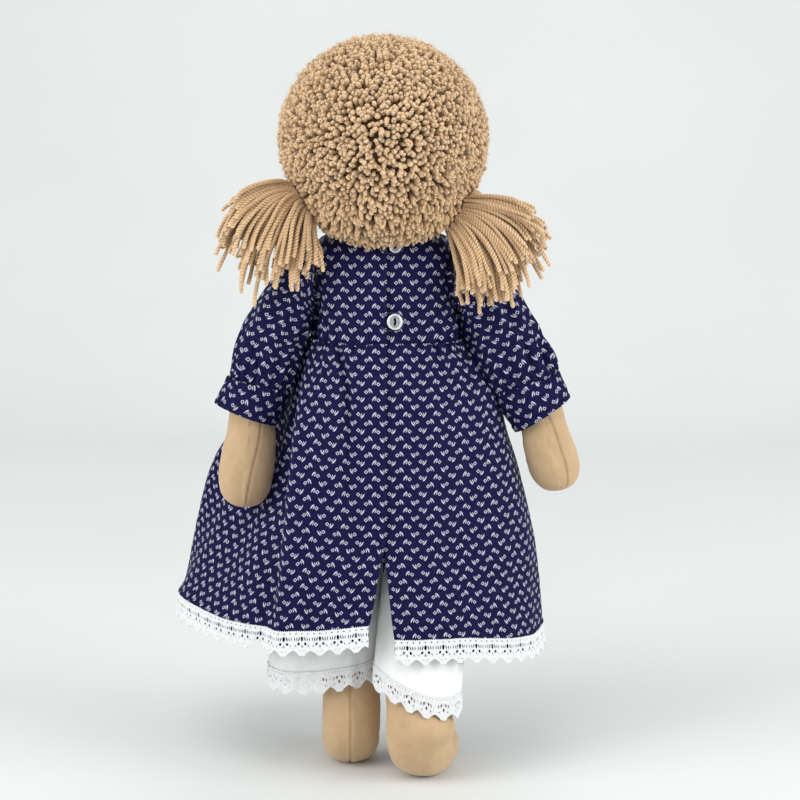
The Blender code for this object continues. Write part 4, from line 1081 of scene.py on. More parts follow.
for side, word in ((1, "left"), (-1, "right")):
    pts = [(x, y, z, w, d) for x, z, w, d, y in ARM[side]]
    first = np.array(pts[0][:3])
    way = unit(first - SHOULDER)
    tab = limb_table(pts, SHOULDER, way, (10.2, 12.0), (22.0, 45.0, 68.0, 90.0))
    n_top = 4
    t = np.concatenate([np.linspace(0, 0.86, 190), 0.86 + 0.14 * np.sin(np.linspace(0, 1, 60)[1:] * math.pi / 2)])
    row = rows_at(tab, t)
    C, W = row[:, :3], unit(row[:, 3:6])
    hw, hd = np.maximum(row[:, 6], 0.02), np.maximum(row[:, 7], 0.02)
    if side > 0:
        # this hand is a little broader towards the skirt
        full = step(222.0, 196.0, C[:, 2])
        hw = hw * (1 + 0.085 * full)
        C = C - np.array((1.2, 0, 0)) * full[:, None]
    ang = np.arange(144) * TAU / 144
    across = np.array((0.0, 1.0, 0.0))
    n = unit(np.cross(across, W))
    p, q = oval(hw[:, None], hd[:, None], ang[None], 2.0)
    P = C[:, None] + n[:, None] * p[..., None] + across * q[..., None]
    nn = unit(P - C[:, None])
    st = np.array(ARM_SEAM[side], float)
    sa = np.interp(P[..., 2].mean(1), st[:, 0], st[:, 1])
    d = (np.degrees(ang)[None] + sa[:, None] * side + 180) % 360 - 180
    dist = np.radians(d) * 12.5
    run = arc(P.mean(1)[None], 1)[0]
    pucker = 0.5 + 0.5 * np.sin(run * TAU / 2.6)
    groove = np.exp(-((dist / 0.5) ** 2))
    swell = np.exp(-(((np.abs(dist) - 1.5) / 1.2) ** 2))
    live = step(0.995, 0.93, t)[:, None]
    disp = (-(0.28 + 0.22 * pucker[:, None]) * groove + 0.12 * swell * (0.6 + 0.5 * pucker[:, None])) * live
    disp = disp + 0.35 * noise2(ang[None] * 12.5, run[:, None], 43 + side, 9.0) * live
    disp = disp + 0.16 * noise2(ang[None] * 12.5, run[:, None], 45 + side, 3.4) * live
    P = P + nn * disp[..., None]
    P[..., 0] *= side
    v = arc(P[:, :1], 0)
    u = np.broadcast_to(np.arange(145) / 144 * 0.078, (len(P), 145))
    uv = np.stack([u, np.broadcast_to(run[:, None] * 0.001, u.shape)], -1)
    seam = groove * (0.75 + 0.25 * pucker[:, None]) * live
    ob = grid_mesh("arm_cover_" + word, P, JERSEY, uv, True, attrs={"seam": seam})
    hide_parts("arm_skin_" + word)
    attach(ob, "arm_" + word)
    # small stitches of thread across the seam
    k = np.arange(0, len(run), 1)
    paths = []
    for s0 in np.arange(2.0, run[-1] - 3.0, 2.6):
        i = int(np.searchsorted(run, s0))
        if P[i, :, 2].mean() > 236:
            continue
        j = int(np.argmin(np.abs(dist[i])))
        a_, b_ = P[i - 2, (j - 2) % 144], P[i + 2, (j + 2) % 144]
        m_ = P[i, j] + nn[i, j] * (side, 1, 1) * 0.35
        s = np.linspace(0, 1, 7)[:, None]
        paths.append(a_ * (1 - s) ** 2 + 2 * m_ * s * (1 - s) + b_ * s**2)
    ob = tubes("arm_stitches_" + word, paths, 0.11, 6, JERSEY_THREAD, cut=False)
    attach(ob, "arm_" + word)

# ------------------------------------------------------------------ legs and feet
for side, word in ((1, "left"), (-1, "right")):
    ankle_y, yaw, ankle_x = LEGS[side]
    top = HIP.copy()
    ankle = np.array((ankle_x, ankle_y, ANKLE_Z))
    down = unit(ankle - top)
    yaw = math.radians(yaw)
    front = np.array((math.sin(yaw), -math.cos(yaw), 0.0))
    straight = np.array((0.0, -1.0, 0.0))
    rows = []
    for a in (20.0, 42.0, 66.0, 90.0):
        q = math.radians(a)
        rows.append((*(top - down * 18.4 * math.cos(q)), *down, 18.4 * math.sin(q), 18.4 * math.sin(q), *straight))
    for share, r in ((0.3, 18.6), (0.6, 18.2), (0.85, 17.8)):
        f = unit(straight * (1 - share) + front * share)
        rows.append((*(top + (ankle - top) * share), *down, r, r, *f))
    bend = 20.0
    wide = 0.0 if side > 0 else 0.6
    for a in (-9, 10, 28, 47, 69, 90):
        q = math.radians(a)
        c = ankle + front * bend * (1 - math.cos(q))
        c[2] = ANKLE_Z - bend * math.sin(q)
        w = np.array((0, 0, -1.0)) * math.cos(q) + front * math.sin(q)
        rows.append((*c, *w, 17.6 + wide * a / 90, 17.4 - 2.2 * a / 90, *front))
    foot = ankle + front * bend
    foot[2] = ANKLE_Z - bend
    for f, w, h in ((8.0, 17.2 + wide, 15.1), (15.0, 15.6 + wide * 0.5, 14.5), (20.5, 12.2, 11.4), (24.2, 7.0, 6.8), (25.6, 0.02, 0.02)):
        c = foot + front * f
        c[2] = ANKLE_Z - bend - (15.2 - h) * 0.35
        rows.append((*c, *front, w, h, *front))
    t = np.concatenate([np.linspace(0, 0.9, 230), 0.9 + 0.1 * np.sin(np.linspace(0, 1, 50)[1:] * math.pi / 2)])
    row = rows_at(rows, t)
    C, W, F = row[:, :3], unit(row[:, 3:6]), unit(row[:, 8:11])
    hw, hd = np.maximum(row[:, 6], 0.02), np.maximum(row[:, 7], 0.02)
    ref = np.where((np.abs((W * F).sum(1)) < 0.9)[:, None], F, (0.0, 0.0, 1.0))
    sw = np.cross(W, ref)
    sw = unit(np.where(sw[:, :1] < 0, -sw, sw))
    n = unit(np.cross(sw, W))
    ang = np.arange(160) * TAU / 160
    p, q = oval(hw[:, None], hd[:, None], ang[None], 2.0)
    P = C[:, None] + sw[:, None] * p[..., None] + n[:, None] * q[..., None]
    nn = unit(P - C[:, None])
    run = arc(P.mean(1)[None], 1)[0]
    # the seam runs down the back of the leg and under the foot
    back = nn @ np.array((0.0, 1.0, 0.0)) if side > 0 else nn @ unit(np.array((0.5, -0.86, 0.0)))
    j0 = np.argmax(back[: len(t) // 2].mean(0))
    want = TAU * j0 / 160
    dist = ((ang[None] - want + math.pi) % TAU - math.pi) * 17.0
    dist = np.broadcast_to(dist, P.shape[:2])
    pucker = 0.5 + 0.5 * np.sin(run * TAU / 2.8)
    groove = np.exp(-((dist / 0.5) ** 2))
    swell = np.exp(-(((np.abs(dist) - 1.5) / 1.2) ** 2))
    live = step(0.999, 0.93, t)[:, None]
    disp = (-(0.28 + 0.22 * pucker[:, None]) * groove + 0.12 * swell) * live
    disp = disp + 0.5 * noise2(ang[None] * 17, run[:, None], 53 + side, 13.0) * live
    disp = disp + 0.2 * noise2(ang[None] * 17, run[:, None], 55 + side, 4.0) * live
    P = P + nn * disp[..., None]
    if side < 0:
        full = np.clip((nn * sw[:, None]).sum(-1), 0, 1)
        P = P + sw[:, None] * (7.0 * np.exp(-(((P[..., 2] - 34.0) / 11.0) ** 2)) * full * step(0.97, 0.8, t)[:, None])[..., None]
    # resting flat where it stands
    z = P[..., 2]
    P[..., 2] = 0.5 * (z + np.sqrt(z * z + 1.4)) + 0.02
    P[..., 0] *= side
    u = np.broadcast_to(np.arange(161) / 160 * 0.107, (len(P), 161))
    uv = np.stack([u, np.broadcast_to(run[:, None] * 0.001, u.shape)], -1)
    ob = grid_mesh("leg_cover_" + word, P, JERSEY, uv, True, attrs={"seam": groove * (0.75 + 0.25 * pucker[:, None]) * live})
    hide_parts("leg_skin_" + word)
    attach(ob, "leg_" + word)

# ------------------------------------------------------------------ clothes
THICK = 0.75


def cloth(name, P, mat, U, V, closed=False, thick=THICK, hem=None):
    """A cloth piece whose outer face is P; U and V are in millimetres, with one more column when closed."""
    uv = np.stack([U, V], -1) * 0.001
    ob = grid_mesh(name, P, mat, uv, closed)
    return thicken(ob, thick)


# bodice


def bodice_end(z, b, n):
    hole = 17.4 * np.sqrt(np.maximum(0.0, 1 - ((z - 302.2) / 19.4) ** 2))
    return np.arccos(np.minimum(1.0, ((SEAM + hole) / b) ** (n / 2)))


def bodice(front, side, cols, rows=170):
    t = np.linspace(0, 1, rows)
    tab = rows_at(BODICE, t)
    z, a, b, n = (tab[:, k : k + 1] for k in range(4))
    end = bodice_end(z, b, n)
    u = np.linspace(0, 1, cols)[None]
    if front:
        ang = math.pi - end + u * 2 * end
        x, y = oval(a, b, ang, n)
        U = (u - 0.5) * 0
    else:
        # the left side laps over the right one
        x0 = -1.6 if side > 0 else 0.4
        sx = np.sign(x0) * side
        edge = np.arcsin(np.minimum(1.0, (abs(x0) / a) ** (n / 2))) * (1 if x0 * side > 0 else -1)
        ang = edge + u * (end - edge)
        x, y = oval(a, b, ang, n)
        x = x * side
    P = np.stack([x, y, np.broadcast_to(z, x.shape)], -1)
    return P, z, u


def horizontal(P, sgn):
    """Outward normals that lie flat, for a sheet whose columns run round the body."""
    d = np.gradient(P, axis=1)
    n = np.stack([-d[..., 1], d[..., 0], 0 * d[..., 0]], -1)
    return unit(n) * sgn


P, z, u = bodice(True, 1, 260)
n = outward(P, horizontal(P, 1), np.array((0, 0, 290.0)))
X = P[..., 0]
s = arc(P, 1)
s = s - s[:, s.shape[1] // 2][:, None]
low = step(290, 264, z)
d = 0.8 * low * noise1(s * 1.0, 71, 4.2) + 0.7 * step(268, 300, z) * noise2(s, z, 72, 15.0)
d = d + 0.35 * noise2(s, z, 73, 5.0)
P = P + n * (d * step(0, 0.03, u) * step(1, 0.97, u))[..., None]
V = arc(P, 0)
ob = cloth("bodice_cloth_front", P, NAVY, s, V)
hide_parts("bodice_front")
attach(ob, "torso")

for side, word in ((1, "left"), (-1, "right")):
    P, z, u = bodice(False, side, 220, 190)
    n = outward(P, horizontal(P, 1), np.array((0, 0, 290.0)))
    X = P[..., 0] * side
    s = arc(P, 1) + (-1.6 if side > 0 else 0.4)
    low = step(296, 264, z)
    keep = step(1.0, 0.96, u)
    if side > 0:
        # pressed facing along the opening, then soft pleats towards the side
        face = step(14.0, 5.0, X)
        d = 0.7 * face + 0.45 * bump1(X, -0.6, 1.5)
        d = d - 0.12 * bump1(X, 7.9, 1.1)
        for c0, w0, a0 in ((27.5, 3.2, -1.2), (33.5, 2.6, -1.3), (38.5, 2.4, -1.2), (43.0, 2.4, -1.0)):
            d = d + a0 * low * bump1(X - 0.06 * (z - 262), c0, w0)
            d = d - a0 * 0.6 * low * bump1(X - 0.06 * (z - 262), c0 + w0, w0)
        d = d + 0.7 * noise2(X, z, 76, 13.0) * step(5, 12, X)
    else:
        d = -0.6 - 0.5 * bump1(X, 2.0, 3.5)
        for c0, w0, a0 in ((22.5, 2.4, -0.7), (29.5, 2.6, -1.0), (34.5, 2.2, -1.3), (38.8, 2.2, -1.4), (43.0, 2.2, -1.2)):
            d = d + a0 * low * bump1(X - 0.05 * (z - 262), c0, w0)
            d = d - a0 * 0.6 * low * bump1(X - 0.05 * (z - 262), c0 + w0, w0)
        d = d + 0.7 * noise2(X, z, 77, 13.0)
    d = d + 0.25 * noise2(X, z, 78 + side, 4.5)
    # the armhole and the waist seam draw the cloth in
    d = d - 2.6 * step(35.0, 43.0, X)
    d = d - 0.8 * np.exp(-(((z - 263.4) / 1.2) ** 2))
    P = P + n * (d * keep)[..., None]
    if side < 0:
        P[..., 0] -= 4.5 * step(302, 266, z) * step(18, 44, X)
    V = P[..., 2] - 262.0
    P[..., 2] -= (0.7 + 0.9 * noise1(X, 79 + side, 7.0)) * step(267, 263, z)
    ob = cloth("bodice_cloth_" + word, P, NAVY, -side * s, V, thick=0.9)
    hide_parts("bodice_back_" + word)
    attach(ob, "torso")

# sleeves and cuffs


def sleeve_points(rows, side, R, C, n=2.1):
    t = np.linspace(0, 1, R)
    tab = rows_at(rows, t)
    ox, oz, ix, iz, b, y0 = (tab[:, k : k + 1] for k in range(6))
    ang = (np.arange(C) * TAU / C)[None]
    p, q = oval(np.ones_like(b), b, ang, n)
    cx, cz, hx, hz = (ox + ix) / 2, (oz + iz) / 2, (ox - ix) / 2, (oz - iz) / 2
    P = np.stack([side * (cx + hx * p), y0 + q, cz + hz * p], -1)
    return P, t[:, None], ang


def ring_normals(P):
    n = normals_of(P, True)
    mid = P.mean(1, keepdims=True)
    return outward(P, n, mid)


def round_print(P):
    """The print runs along the middle line of the tube P and round it, from its joint at the front."""
    C = P.mean(1)
    axis = unit(np.gradient(C, axis=0))
    axis = unit(axis + 1e-9)
    run = arc(C[None], 1)[0]
    Q = np.concatenate([P, P[:, :1]], 1)
    along = ((Q - C[:, None]) * axis[:, None]).sum(-1)
    flat = Q - along[..., None] * axis[:, None]
    U = arc(flat, 1)
    U = U - U[:, P.shape[1] // 2][:, None]
    return U, run[:, None] + along


for side, word in ((1, "left"), (-1, "right")):
    P, t, ang = sleeve_points(SLEEVE[side], side, 230, 300)
    # the armhole seam lies a little deeper than the cloth beside it
    P[..., 1] *= 1 - 0.13 * step(0.10, 0.0, t) * (P[..., 1] > 0)
    smooth = P.copy()
    n = ring_normals(P)
    a = ang * 28.0
    # gathers into the cuff and into the armhole, and soft folds between
    end = step(0.62, 1.0, t)
    cap = step(0.2, 0.0, t)
    wig = a + 2.0 * noise2(a, t * 60, 81 + side, 14.0)
    wig = wig % (TAU * 28.0)
    gather = np.sin(wig * TAU / (TAU * 28.0) * 27 + 1.5 * noise1(a, 83 + side, 9.0))
    d = 0.85 * end * step(1.0, 0.97, t) * gather - 0.9 * step(0.965, 1.0, t) + 0.5 * cap * np.sin(ang * 22 + 1.2 * noise1(a, 84, 11.0))
    swell = np.sin(ang * 9 + 1.6 * np.sin(ang * 2 + side) + t * 1.5)
    d = d + 0.9 * step(0.15, 0.55, t) * step(1.0, 0.85, t) * swell
    d = d + 0.8 * noise2(np.cos(ang) * 26 + 60, t * 75 + np.sin(ang) * 26, 85 + side, 15.0) * step(0.03, 0.2, t)
    X, Y, Z = P[..., 0] * side, P[..., 1], P[..., 2]
    if side > 0:
        lines = [((85.3, 271.0), (92.0, 243.5), 3.0, 2.6, 1), ((66.0, 292.0), (60.0, 262.0), 1.3, 4.0, 1),
                 ((77.0, 276.0), (76.0, 246.0), 1.2, 3.4, 1), ((56.0, 300.0), (52.0, 262.0), 1.2, 3.6, 1)]
    else:
        lines = [((93.0, 266.0), (98.5, 247.0), 3.0, 3.0, 1), ((72.0, 292.0), (74.0, 258.0), 1.3, 4.0, 1),
                 ((84.0, 276.0), (86.0, 246.0), 1.2, 3.4, 1), ((60.0, 300.0), (62.0, 262.0), 1.2, 3.6, 1)]
    for (x0, z0), (x1, z1), deep, half, way in lines:
        dx, dz = x1 - x0, z1 - z0
        L = math.hypot(dx, dz)
        k = ((X - x0) * dx + (Z - z0) * dz) / (L * L)
        off = ((X - x0) * dz - (Z - z0) * dx) / L
        fade = step(-0.15, 0.2, k) * step(1.25, 0.85, k) * step(-2, 5, Y * way)
        d = d - deep * fade * np.exp(-((off / half) ** 2))
        d = d + 0.5 * deep * fade * np.exp(-(((np.abs(off) - 1.9 * half) / half) ** 2))
    P = P + n * d[..., None]
    # tucked into the cuff
    way = unit(P[-1].mean(0) - P[-30].mean(0))
    more = np.linspace(0, 2.4, 7)[1:, None, None]
    P = np.concatenate([P, P[-1:] + way * more - n[-1:] * 0.35 * more], 0)
    P = np.roll(P, -3 * P.shape[1] // 4, axis=1)
    smooth = np.concatenate([smooth, smooth[-1:] + way * more], 0)
    U, V = round_print(np.roll(smooth, -3 * P.shape[1] // 4, axis=1))
    ob = cloth("sleeve_cloth_" + word, P, NAVY, -side * U + 1.2, -V + 3.3, True)
    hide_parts("sleeve_" + word)
    sleeve_ob = ob
    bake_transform(sleeve_ob)

    P, t, ang = sleeve_points(CUFF[side], side, 110, 260)
    if side > 0:
        P[..., 2] += 2.4 * step(0.2, 1.0, t)
    smooth = P.copy()
    n = ring_normals(P)
    a = ang * 22.0
    d = 0.45 * np.sin(ang * 27 + 1.4 * noise1(a, 93 + side, 8.0)) * step(0.35, 0.0, t)
    d = d + 0.8 * noise2(np.cos(ang) * 22 + 60, t * 24 + np.sin(ang) * 22, 95 + side, 12.0)
    d = d + 0.55 * (step(0.80, 0.84, t) - 0.0) - 0.3 * bump1(t, 0.80, 0.03)
    d = d - 0.5 * step(0.05, 0.0, t)
    P = P + n * d[..., None]
    P[..., 2] += 1.2 * step(0.06, 0.0, t)
    P = np.roll(P, -3 * P.shape[1] // 4, axis=1)
    U, V = round_print(np.roll(smooth, -3 * P.shape[1] // 4, axis=1))
    ob = cloth("cuff_cloth_" + word, P, NAVY, -side * U + 3.1, -V + 2.0, True, 0.95)
    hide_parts("cuff_" + word)
    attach(ob, "arm_" + word)

# skirt


def plan_points(level, t):
    pts = plans[level]
    i = np.floor(t).astype(int)
    f = (t - i)[:, None]
    a, b, c, d = (pts[(i + k) % COUNT] for k in (-1, 0, 1, 2))
    return 0.5 * (2 * b + (c - a) * f + (2 * a - 5 * b + 4 * c - d) * f * f + (3 * b - a - 3 * c + d) * f**3)


def skirt_points(half, u, down):
    """u and down are arrays; the result is rows (down) x columns (u) x 3."""
    t = u * FRONT if half > 0 else COUNT - u * (COUNT - FRONT)
    lev = np.stack([plan_points(level, t) for level in LEVELS])  # levels x columns x 2
    xy = rows_at(lev.reshape(len(LEVELS), -1), down).reshape(len(down), len(u), 2)
    z = rows_at([(float(level),) for level in LEVELS], down)
    if half > 0:
        dz = np.interp(u, [0, 0.03, 0.12, 0.25, 0.41, 0.54, 0.62, 0.8, 1.0], [3.8, 3.2, 1.2, 0, 0, 3.0, 4.5, 3.0, 0])
    else:
        dz = np.interp(u, [0, 0.15, 0.23, 0.34, 0.44, 0.6, 1.0], [-4.7, -4.2, -5.1, -9.0, -12.0, -9.0, 0])
    z = z + dz * np.maximum(0.0, (down[:, None] - 0.5) / 0.5)
    slit = np.maximum(0.0, (down[:, None] - 0.72) / 0.28)
    near = np.maximum(0.0, 1 - u * (FRONT if half > 0 else COUNT - FRONT) / 1.6)[None]
    x = xy[..., 0] + {1: 9.0, -1: -6.0}[half] * slit * near
    return np.stack([x, xy[..., 1], z + 0 * x], -1)


def folds(half, s, down, S):
    """How far the skirt's cloth stands out, s along the hem from the centre back."""
    front = step(S - 60, S - 10, s)
    live = np.interp(s, [0, 12, 24, 75, 110, S - 60, S - 20, S], [0.1, 0.25, 0.4, 0.75, 1, 1, 0.6, 0.4])
    shift = s + 3.5 * noise2(s, down * 100, 101 + half, 40.0) * down
    waist = np.exp(-down / 0.07)
    d = 2.0 * waist * (0.3 + live) * noise1(shift, 103 + half, 4.6)
    d = d + 1.5 * np.exp(-down / 0.22) * (0.2 + live) * noise1(shift, 105 + half, 8.5)
    mid = np.interp(down, [0, 0.2, 0.45, 0.8, 1.0], [0.6, 1.7, 1.9, 1.1, 0.8])
    d = d + mid * live * noise1(shift, 107 + half, 17.0)
    d = d + 2.6 * down * live * noise1(shift, 109 + half, 37.0)
    d = d + 0.5 * noise2(s, down * 170, 111 + half, 18.0) * step(0, 0.1, down)
    d = d + 0.16 * noise2(s, down * 170, 113 + half, 4.5)
    return d


HEM_ROWS = {}
for half, word in ((1, "left"), (-1, "right")):
    cols = 520 if half > 0 else 400
    u = np.linspace(0, 1, cols)
    # even steps along the hem
    fine = np.linspace(0, 1, 2000)
    hem = skirt_points(half, fine, np.array([1.0]))[0]
    L = np.concatenate([[0], np.cumsum(np.linalg.norm(np.diff(hem, axis=0), axis=1))])
    S = L[-1]
    u = np.interp(np.linspace(0, S, cols), L, fine)
    s = np.linspace(0, S, cols)[None]
    down = np.linspace(0, 1, 230)
    P = skirt_points(half, u, down)
    n = horizontal(P, half)
    D = down[:, None]
    d = folds(half, s, D, S)
    X = P[..., 0] * half
    if half > 0:
        # a soft valley down the left of the opening, and the deep fold where the cloth turns to the side
        c0 = 26.5 - 6.0 * step(0.0, 0.22, D) + 2.0 * D
        side_y = P[..., 1] > 0
        depth = (3.2 * np.exp(-D / 0.25) + 1.7) * step(0.0, 0.03, D) * step(0.9, 0.45, D)
        d = d - depth * np.exp(-(((X - c0) / (2.0 + 3 * D)) ** 2)) * side_y
        d = d + 0.45 * depth * np.exp(-(((X - c0 + 5.5) / 3.6) ** 2)) * side_y
        d = d + 0.35 * depth * np.exp(-(((X - c0 - 7.0) / 4.5) ** 2)) * side_y
        # the recess behind the deep fold, and the rolled edge beside it
        back = step(0.0, 12.0, P[..., 1])
        c1 = 49.0 + 16.0 * D
        deep = 9.5 * step(0.06, 0.30, D) * step(1.12, 0.75, D)
        d = d - deep * back * np.exp(-(((X - c1 - 7.0) / 5.5) ** 2))
        d = d + 2.2 * step(0.12, 0.35, D) * back * np.exp(-(((X - c1 + 3.5) / 5.0) ** 2))
        for c2, w2, a2, e2 in ((12.5, 1.6, -1.3, 0.14), (18.5, 1.6, -1.6, 0.16), (32.0, 1.9, -3.0, 0.36), (37.5, 1.9, -3.4, 0.4), (42.0, 1.9, -3.2, 0.4)):
            d = d + a2 * np.exp(-D / e2 * 1.6) * np.exp(-(((X - c2 * (1 + 0.35 * D)) / (w2 + 4 * D)) ** 2)) * back
        lap = step(12.0, 4.0, X) * (P[..., 1] > 0) * step(0.86, 0.70, D)
        d = d + 0.7 * lap
    else:
        for c0, w0, a0, e0 in ((12.0, 1.8, -1.2, 0.16), (20.0, 1.8, -1.5, 0.2), (34.0, 1.9, -3.0, 0.4), (39.0, 2.0, -3.4, 0.5), (43.5, 2.0, -3.2, 0.55), (28.0, 2.0, -2.0, 0.36)):
            fan = c0 + 26 * D * (c0 / 45)
            d = d + a0 * np.exp(-D / e0 * 1.6) * np.exp(-(((X - fan) / (w0 + 4 * D)) ** 2)) * (P[..., 1] > -10)
        d = d - 0.55 * step(5, 0, X) * (P[..., 1] > 0) * step(0.86, 0.70, D)
    # tucked up into the waist seam
    d = d - 0.8 * step(0.012, 0.0, D)
    # both edges meet at the centre back above the slit, and the left laps over the right at the centre front
    d = d * step(S, S - 9.0, s)
    P = P + n * d[..., None]
    P[..., 0] -= half * 0.6 * step(S - 9.0, S - 1.0, s)
    if half < 0:
        P[..., 1] += 1.0 * step(S - 9.0, S - 2.0, s)
    P[..., 2] += 1.3 * step(0.012, 0.0, D)
    if half < 0:
        P[..., 0] -= 5.5 * step(18, 44, X) * step(0.42, 0.12, D) * (P[..., 1] > -30)
        P[..., 0] -= 3.2 * step(25, 60, X) * step(0.05, 0.2, D) * step(0.85, 0.45, D)
    elif half > 0:
        P[..., 0] += 1.5 * step(18, 44, X) * step(0.3, 0.1, D) * (P[..., 1] > -30)
    if half > 0:
        P[..., 0] -= 1.6 * step(0.78, 0.66, D) * step(9.0, 0.0, s)
    else:
        P[..., 0] -= 0.3
    U = arc(P, 1) + (-1.6 if half > 0 else 0.4)
    total = U[:, -1:]
    back_w = step(S * 0.72, S * 0.5, s)
    U = U * back_w + (S - (total - U)) * (1 - back_w)
    V = arc(P, 0)
    V = P[..., 2] * 0 - (V[:, :1] * 0.5 + V * 0.5)
    HEM_ROWS[half] = (P[-1].copy(), n[-1].copy(), arc(P[-1:], 1)[0])
    # the cloth goes on behind the upper part of the lace
    more = np.linspace(0, 8.6, 15)[1:, None, None]
    P = np.concatenate([P, P[-1:] - (0, 0, 1.0) * more - n[-1:] * (0.9 * (1 - np.exp(-more / 1.5)))], 0)
    U = np.concatenate([U, np.broadcast_to(U[-1:], (14, cols))], 0)
    V = np.concatenate([V, V[-1:] - more[:, :, 0]], 0)
    ob = cloth("skirt_cloth_" + word, P, NAVY, -half * U, V)
    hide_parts("skirt_" + word)
    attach(ob, "torso")
    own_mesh(ob)

# bloomers


def bloom_points(side, u, t):
    tab = rows_at([(*r, k, a, b) for r, k, a, b in zip(BLOOM[side], CLOSE, SWEEP[side], RAISE[side])], t)
    z, out, inn, fr, bk, k, sweep, lift = (tab[:, i : i + 1] for i in range(8))
    cy, b = (fr + bk) / 2, (bk - fr) / 2
    a = u[None] * math.pi
    hx, hy = oval(out, b, a, 2.3)
    hx = np.maximum(hx, 0) + SEAM
    a2 = -math.pi / 2 + 0.02 + u[None] * (TAU - 0.04)
    lx, ly = oval((out - inn) / 2, b, a2, 2.5)
    lx = lx + (out + inn) / 2
    k = np.clip(k, 0, 1)
    x = hx + (lx - hx) * k
    y = hy + (ly - hy) * k
    # the right leg is swept behind the left one, and both hems are higher at the inner back
    inner = np.clip((out - x) / (out - inn), 0, 1)
    x = x - np.maximum(sweep, 0) * inner * step(0.1, 0.75, y / b)
    z = z + np.maximum(lift, 0) * inner**2
    if side < 0:
        y = y - 0.35 * np.maximum(lift, 0) * inner**2 * np.maximum(0.0, y / b)
    return np.stack([side * x, cy + y, z + 0 * x], -1)


BLOOM_ROWS = {}
for side, word in ((1, "left"), (-1, "right")):
    fine = np.linspace(0, 1, 1500)
    hem = bloom_points(side, fine, np.array([1.0]))[0]
    L = np.concatenate([[0], np.cumsum(np.linalg.norm(np.diff(hem, axis=0), axis=1))])
    u = np.interp(np.linspace(0, L[-1], 300), L, fine)
    t = np.linspace(0, 1, 220)
    P = bloom_points(side, u, t)
    n = normals_of(P)
    mid = P.mean(1, keepdims=True)
    n = outward(P, n, mid)
    a = np.linspace(0, L[-1], 300)[None]
    T = t[:, None]
    d = 1.1 * step(0.08, 0.0, T) * np.sin(a * TAU / 6.5) * 0.6
    d = d + 1.3 * step(0.80, 1.0, T) * noise1(a, 121 + side, 5.0)
    d = d + 1.2 * step(0.3, 0.9, T) * noise2(a, T * 190, 123 + side, 17.0)
    d = d + 0.3 * noise2(a, T * 190, 125 + side, 5.0)
    d = d * step(0, 0.03, u[None]) * step(1, 0.97, u[None])
    P = P + n * d[..., None]
    U = arc(P, 1)
    V = arc(P, 0)
    V = 0 * V - V[:, 150:151]
    ob = cloth("bloomers_cloth_" + word, P, COTTON, U, V, False, 0.7)
    BLOOM_ROWS[side] = (P[-1].copy(), n[-1].copy(), U[-1].copy())
    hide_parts("bloomers_" + word)
    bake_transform(ob)

# ------------------------------------------------------------------ lace


def marching(F, x, y):
    """Polygons of the region F > 0 on the grid x, y. Returns points and a list of index arrays."""
    R, C = F.shape
    inside = F > 0
    idx = -np.ones((R, C), np.int64)
    pts = []
    n0 = 0
    r, c = np.nonzero(inside)
    idx[r, c] = np.arange(len(r))
    pts.append(np.stack([x[c], y[r]], 1))
    n0 = len(r)
    hx = -np.ones((R, C - 1), np.int64)
    m = inside[:, 1:] != inside[:, :-1]
    r, c = np.nonzero(m)
    f0, f1 = F[r, c], F[r, c + 1]
    k = np.clip(f0 / (f0 - f1), 0.04, 0.96)
    hx[r, c] = n0 + np.arange(len(r))
    pts.append(np.stack([x[c] + (x[c + 1] - x[c]) * k, y[r]], 1))
    n0 += len(r)
    vx = -np.ones((R - 1, C), np.int64)
    m = inside[1:] != inside[:-1]
    r, c = np.nonzero(m)
    f0, f1 = F[r, c], F[r + 1, c]
    k = np.clip(f0 / (f0 - f1), 0.04, 0.96)
    vx[r, c] = n0 + np.arange(len(r))
    pts.append(np.stack([x[c], y[r] + (y[r + 1] - y[r]) * k], 1))
    # corners of a cell in turn, with the edge that follows each
    cor = [idx[:-1, :-1], idx[:-1, 1:], idx[1:, 1:], idx[1:, :-1]]
    edg = [hx[:-1], vx[:, 1:], hx[1:], vx[:, :-1]]
    code = sum((inside[a : R - 1 + a, b : C - 1 + b].astype(int) << i) for i, (a, b) in enumerate(((0, 0), (0, 1), (1, 1), (1, 0))))
    polys = []
    for case in range(1, 16):
        r, c = np.nonzero(code == case)
        if not len(r):
            continue
        seq = []
        for i in range(4):
            j = (i + 1) % 4
            if case >> i & 1:
                seq.append(cor[i][r, c])
            if (case >> i & 1) != (case >> j & 1):
                seq.append(edg[i][r, c])
        if case in (5, 10):
            # two corners apart: keep them as two pieces
            k = 0 if case == 5 else 1
            for q in (k, k + 2):
                polys.append(np.stack([cor[q][r, c], edg[q][r, c], edg[(q + 3) % 4][r, c]], 1))
            continue
        polys.append(np.stack(seq, 1))
    return np.concatenate(pts), polys


def hole(F, x, y, cx, cy, a, b, deg=0.0, sharp=1.0):
    """Cuts an oval out of a field of distances."""
    c, s = math.cos(math.radians(deg)), math.sin(math.radians(deg))
    dx, dy = x - cx, y - cy
    p, q = dx * c + dy * s, dy * c - dx * s
    e = np.sqrt((p / a) ** 2 + (q / b) ** 2)
    return np.minimum(F, (e - 1) * min(a, b) * sharp)


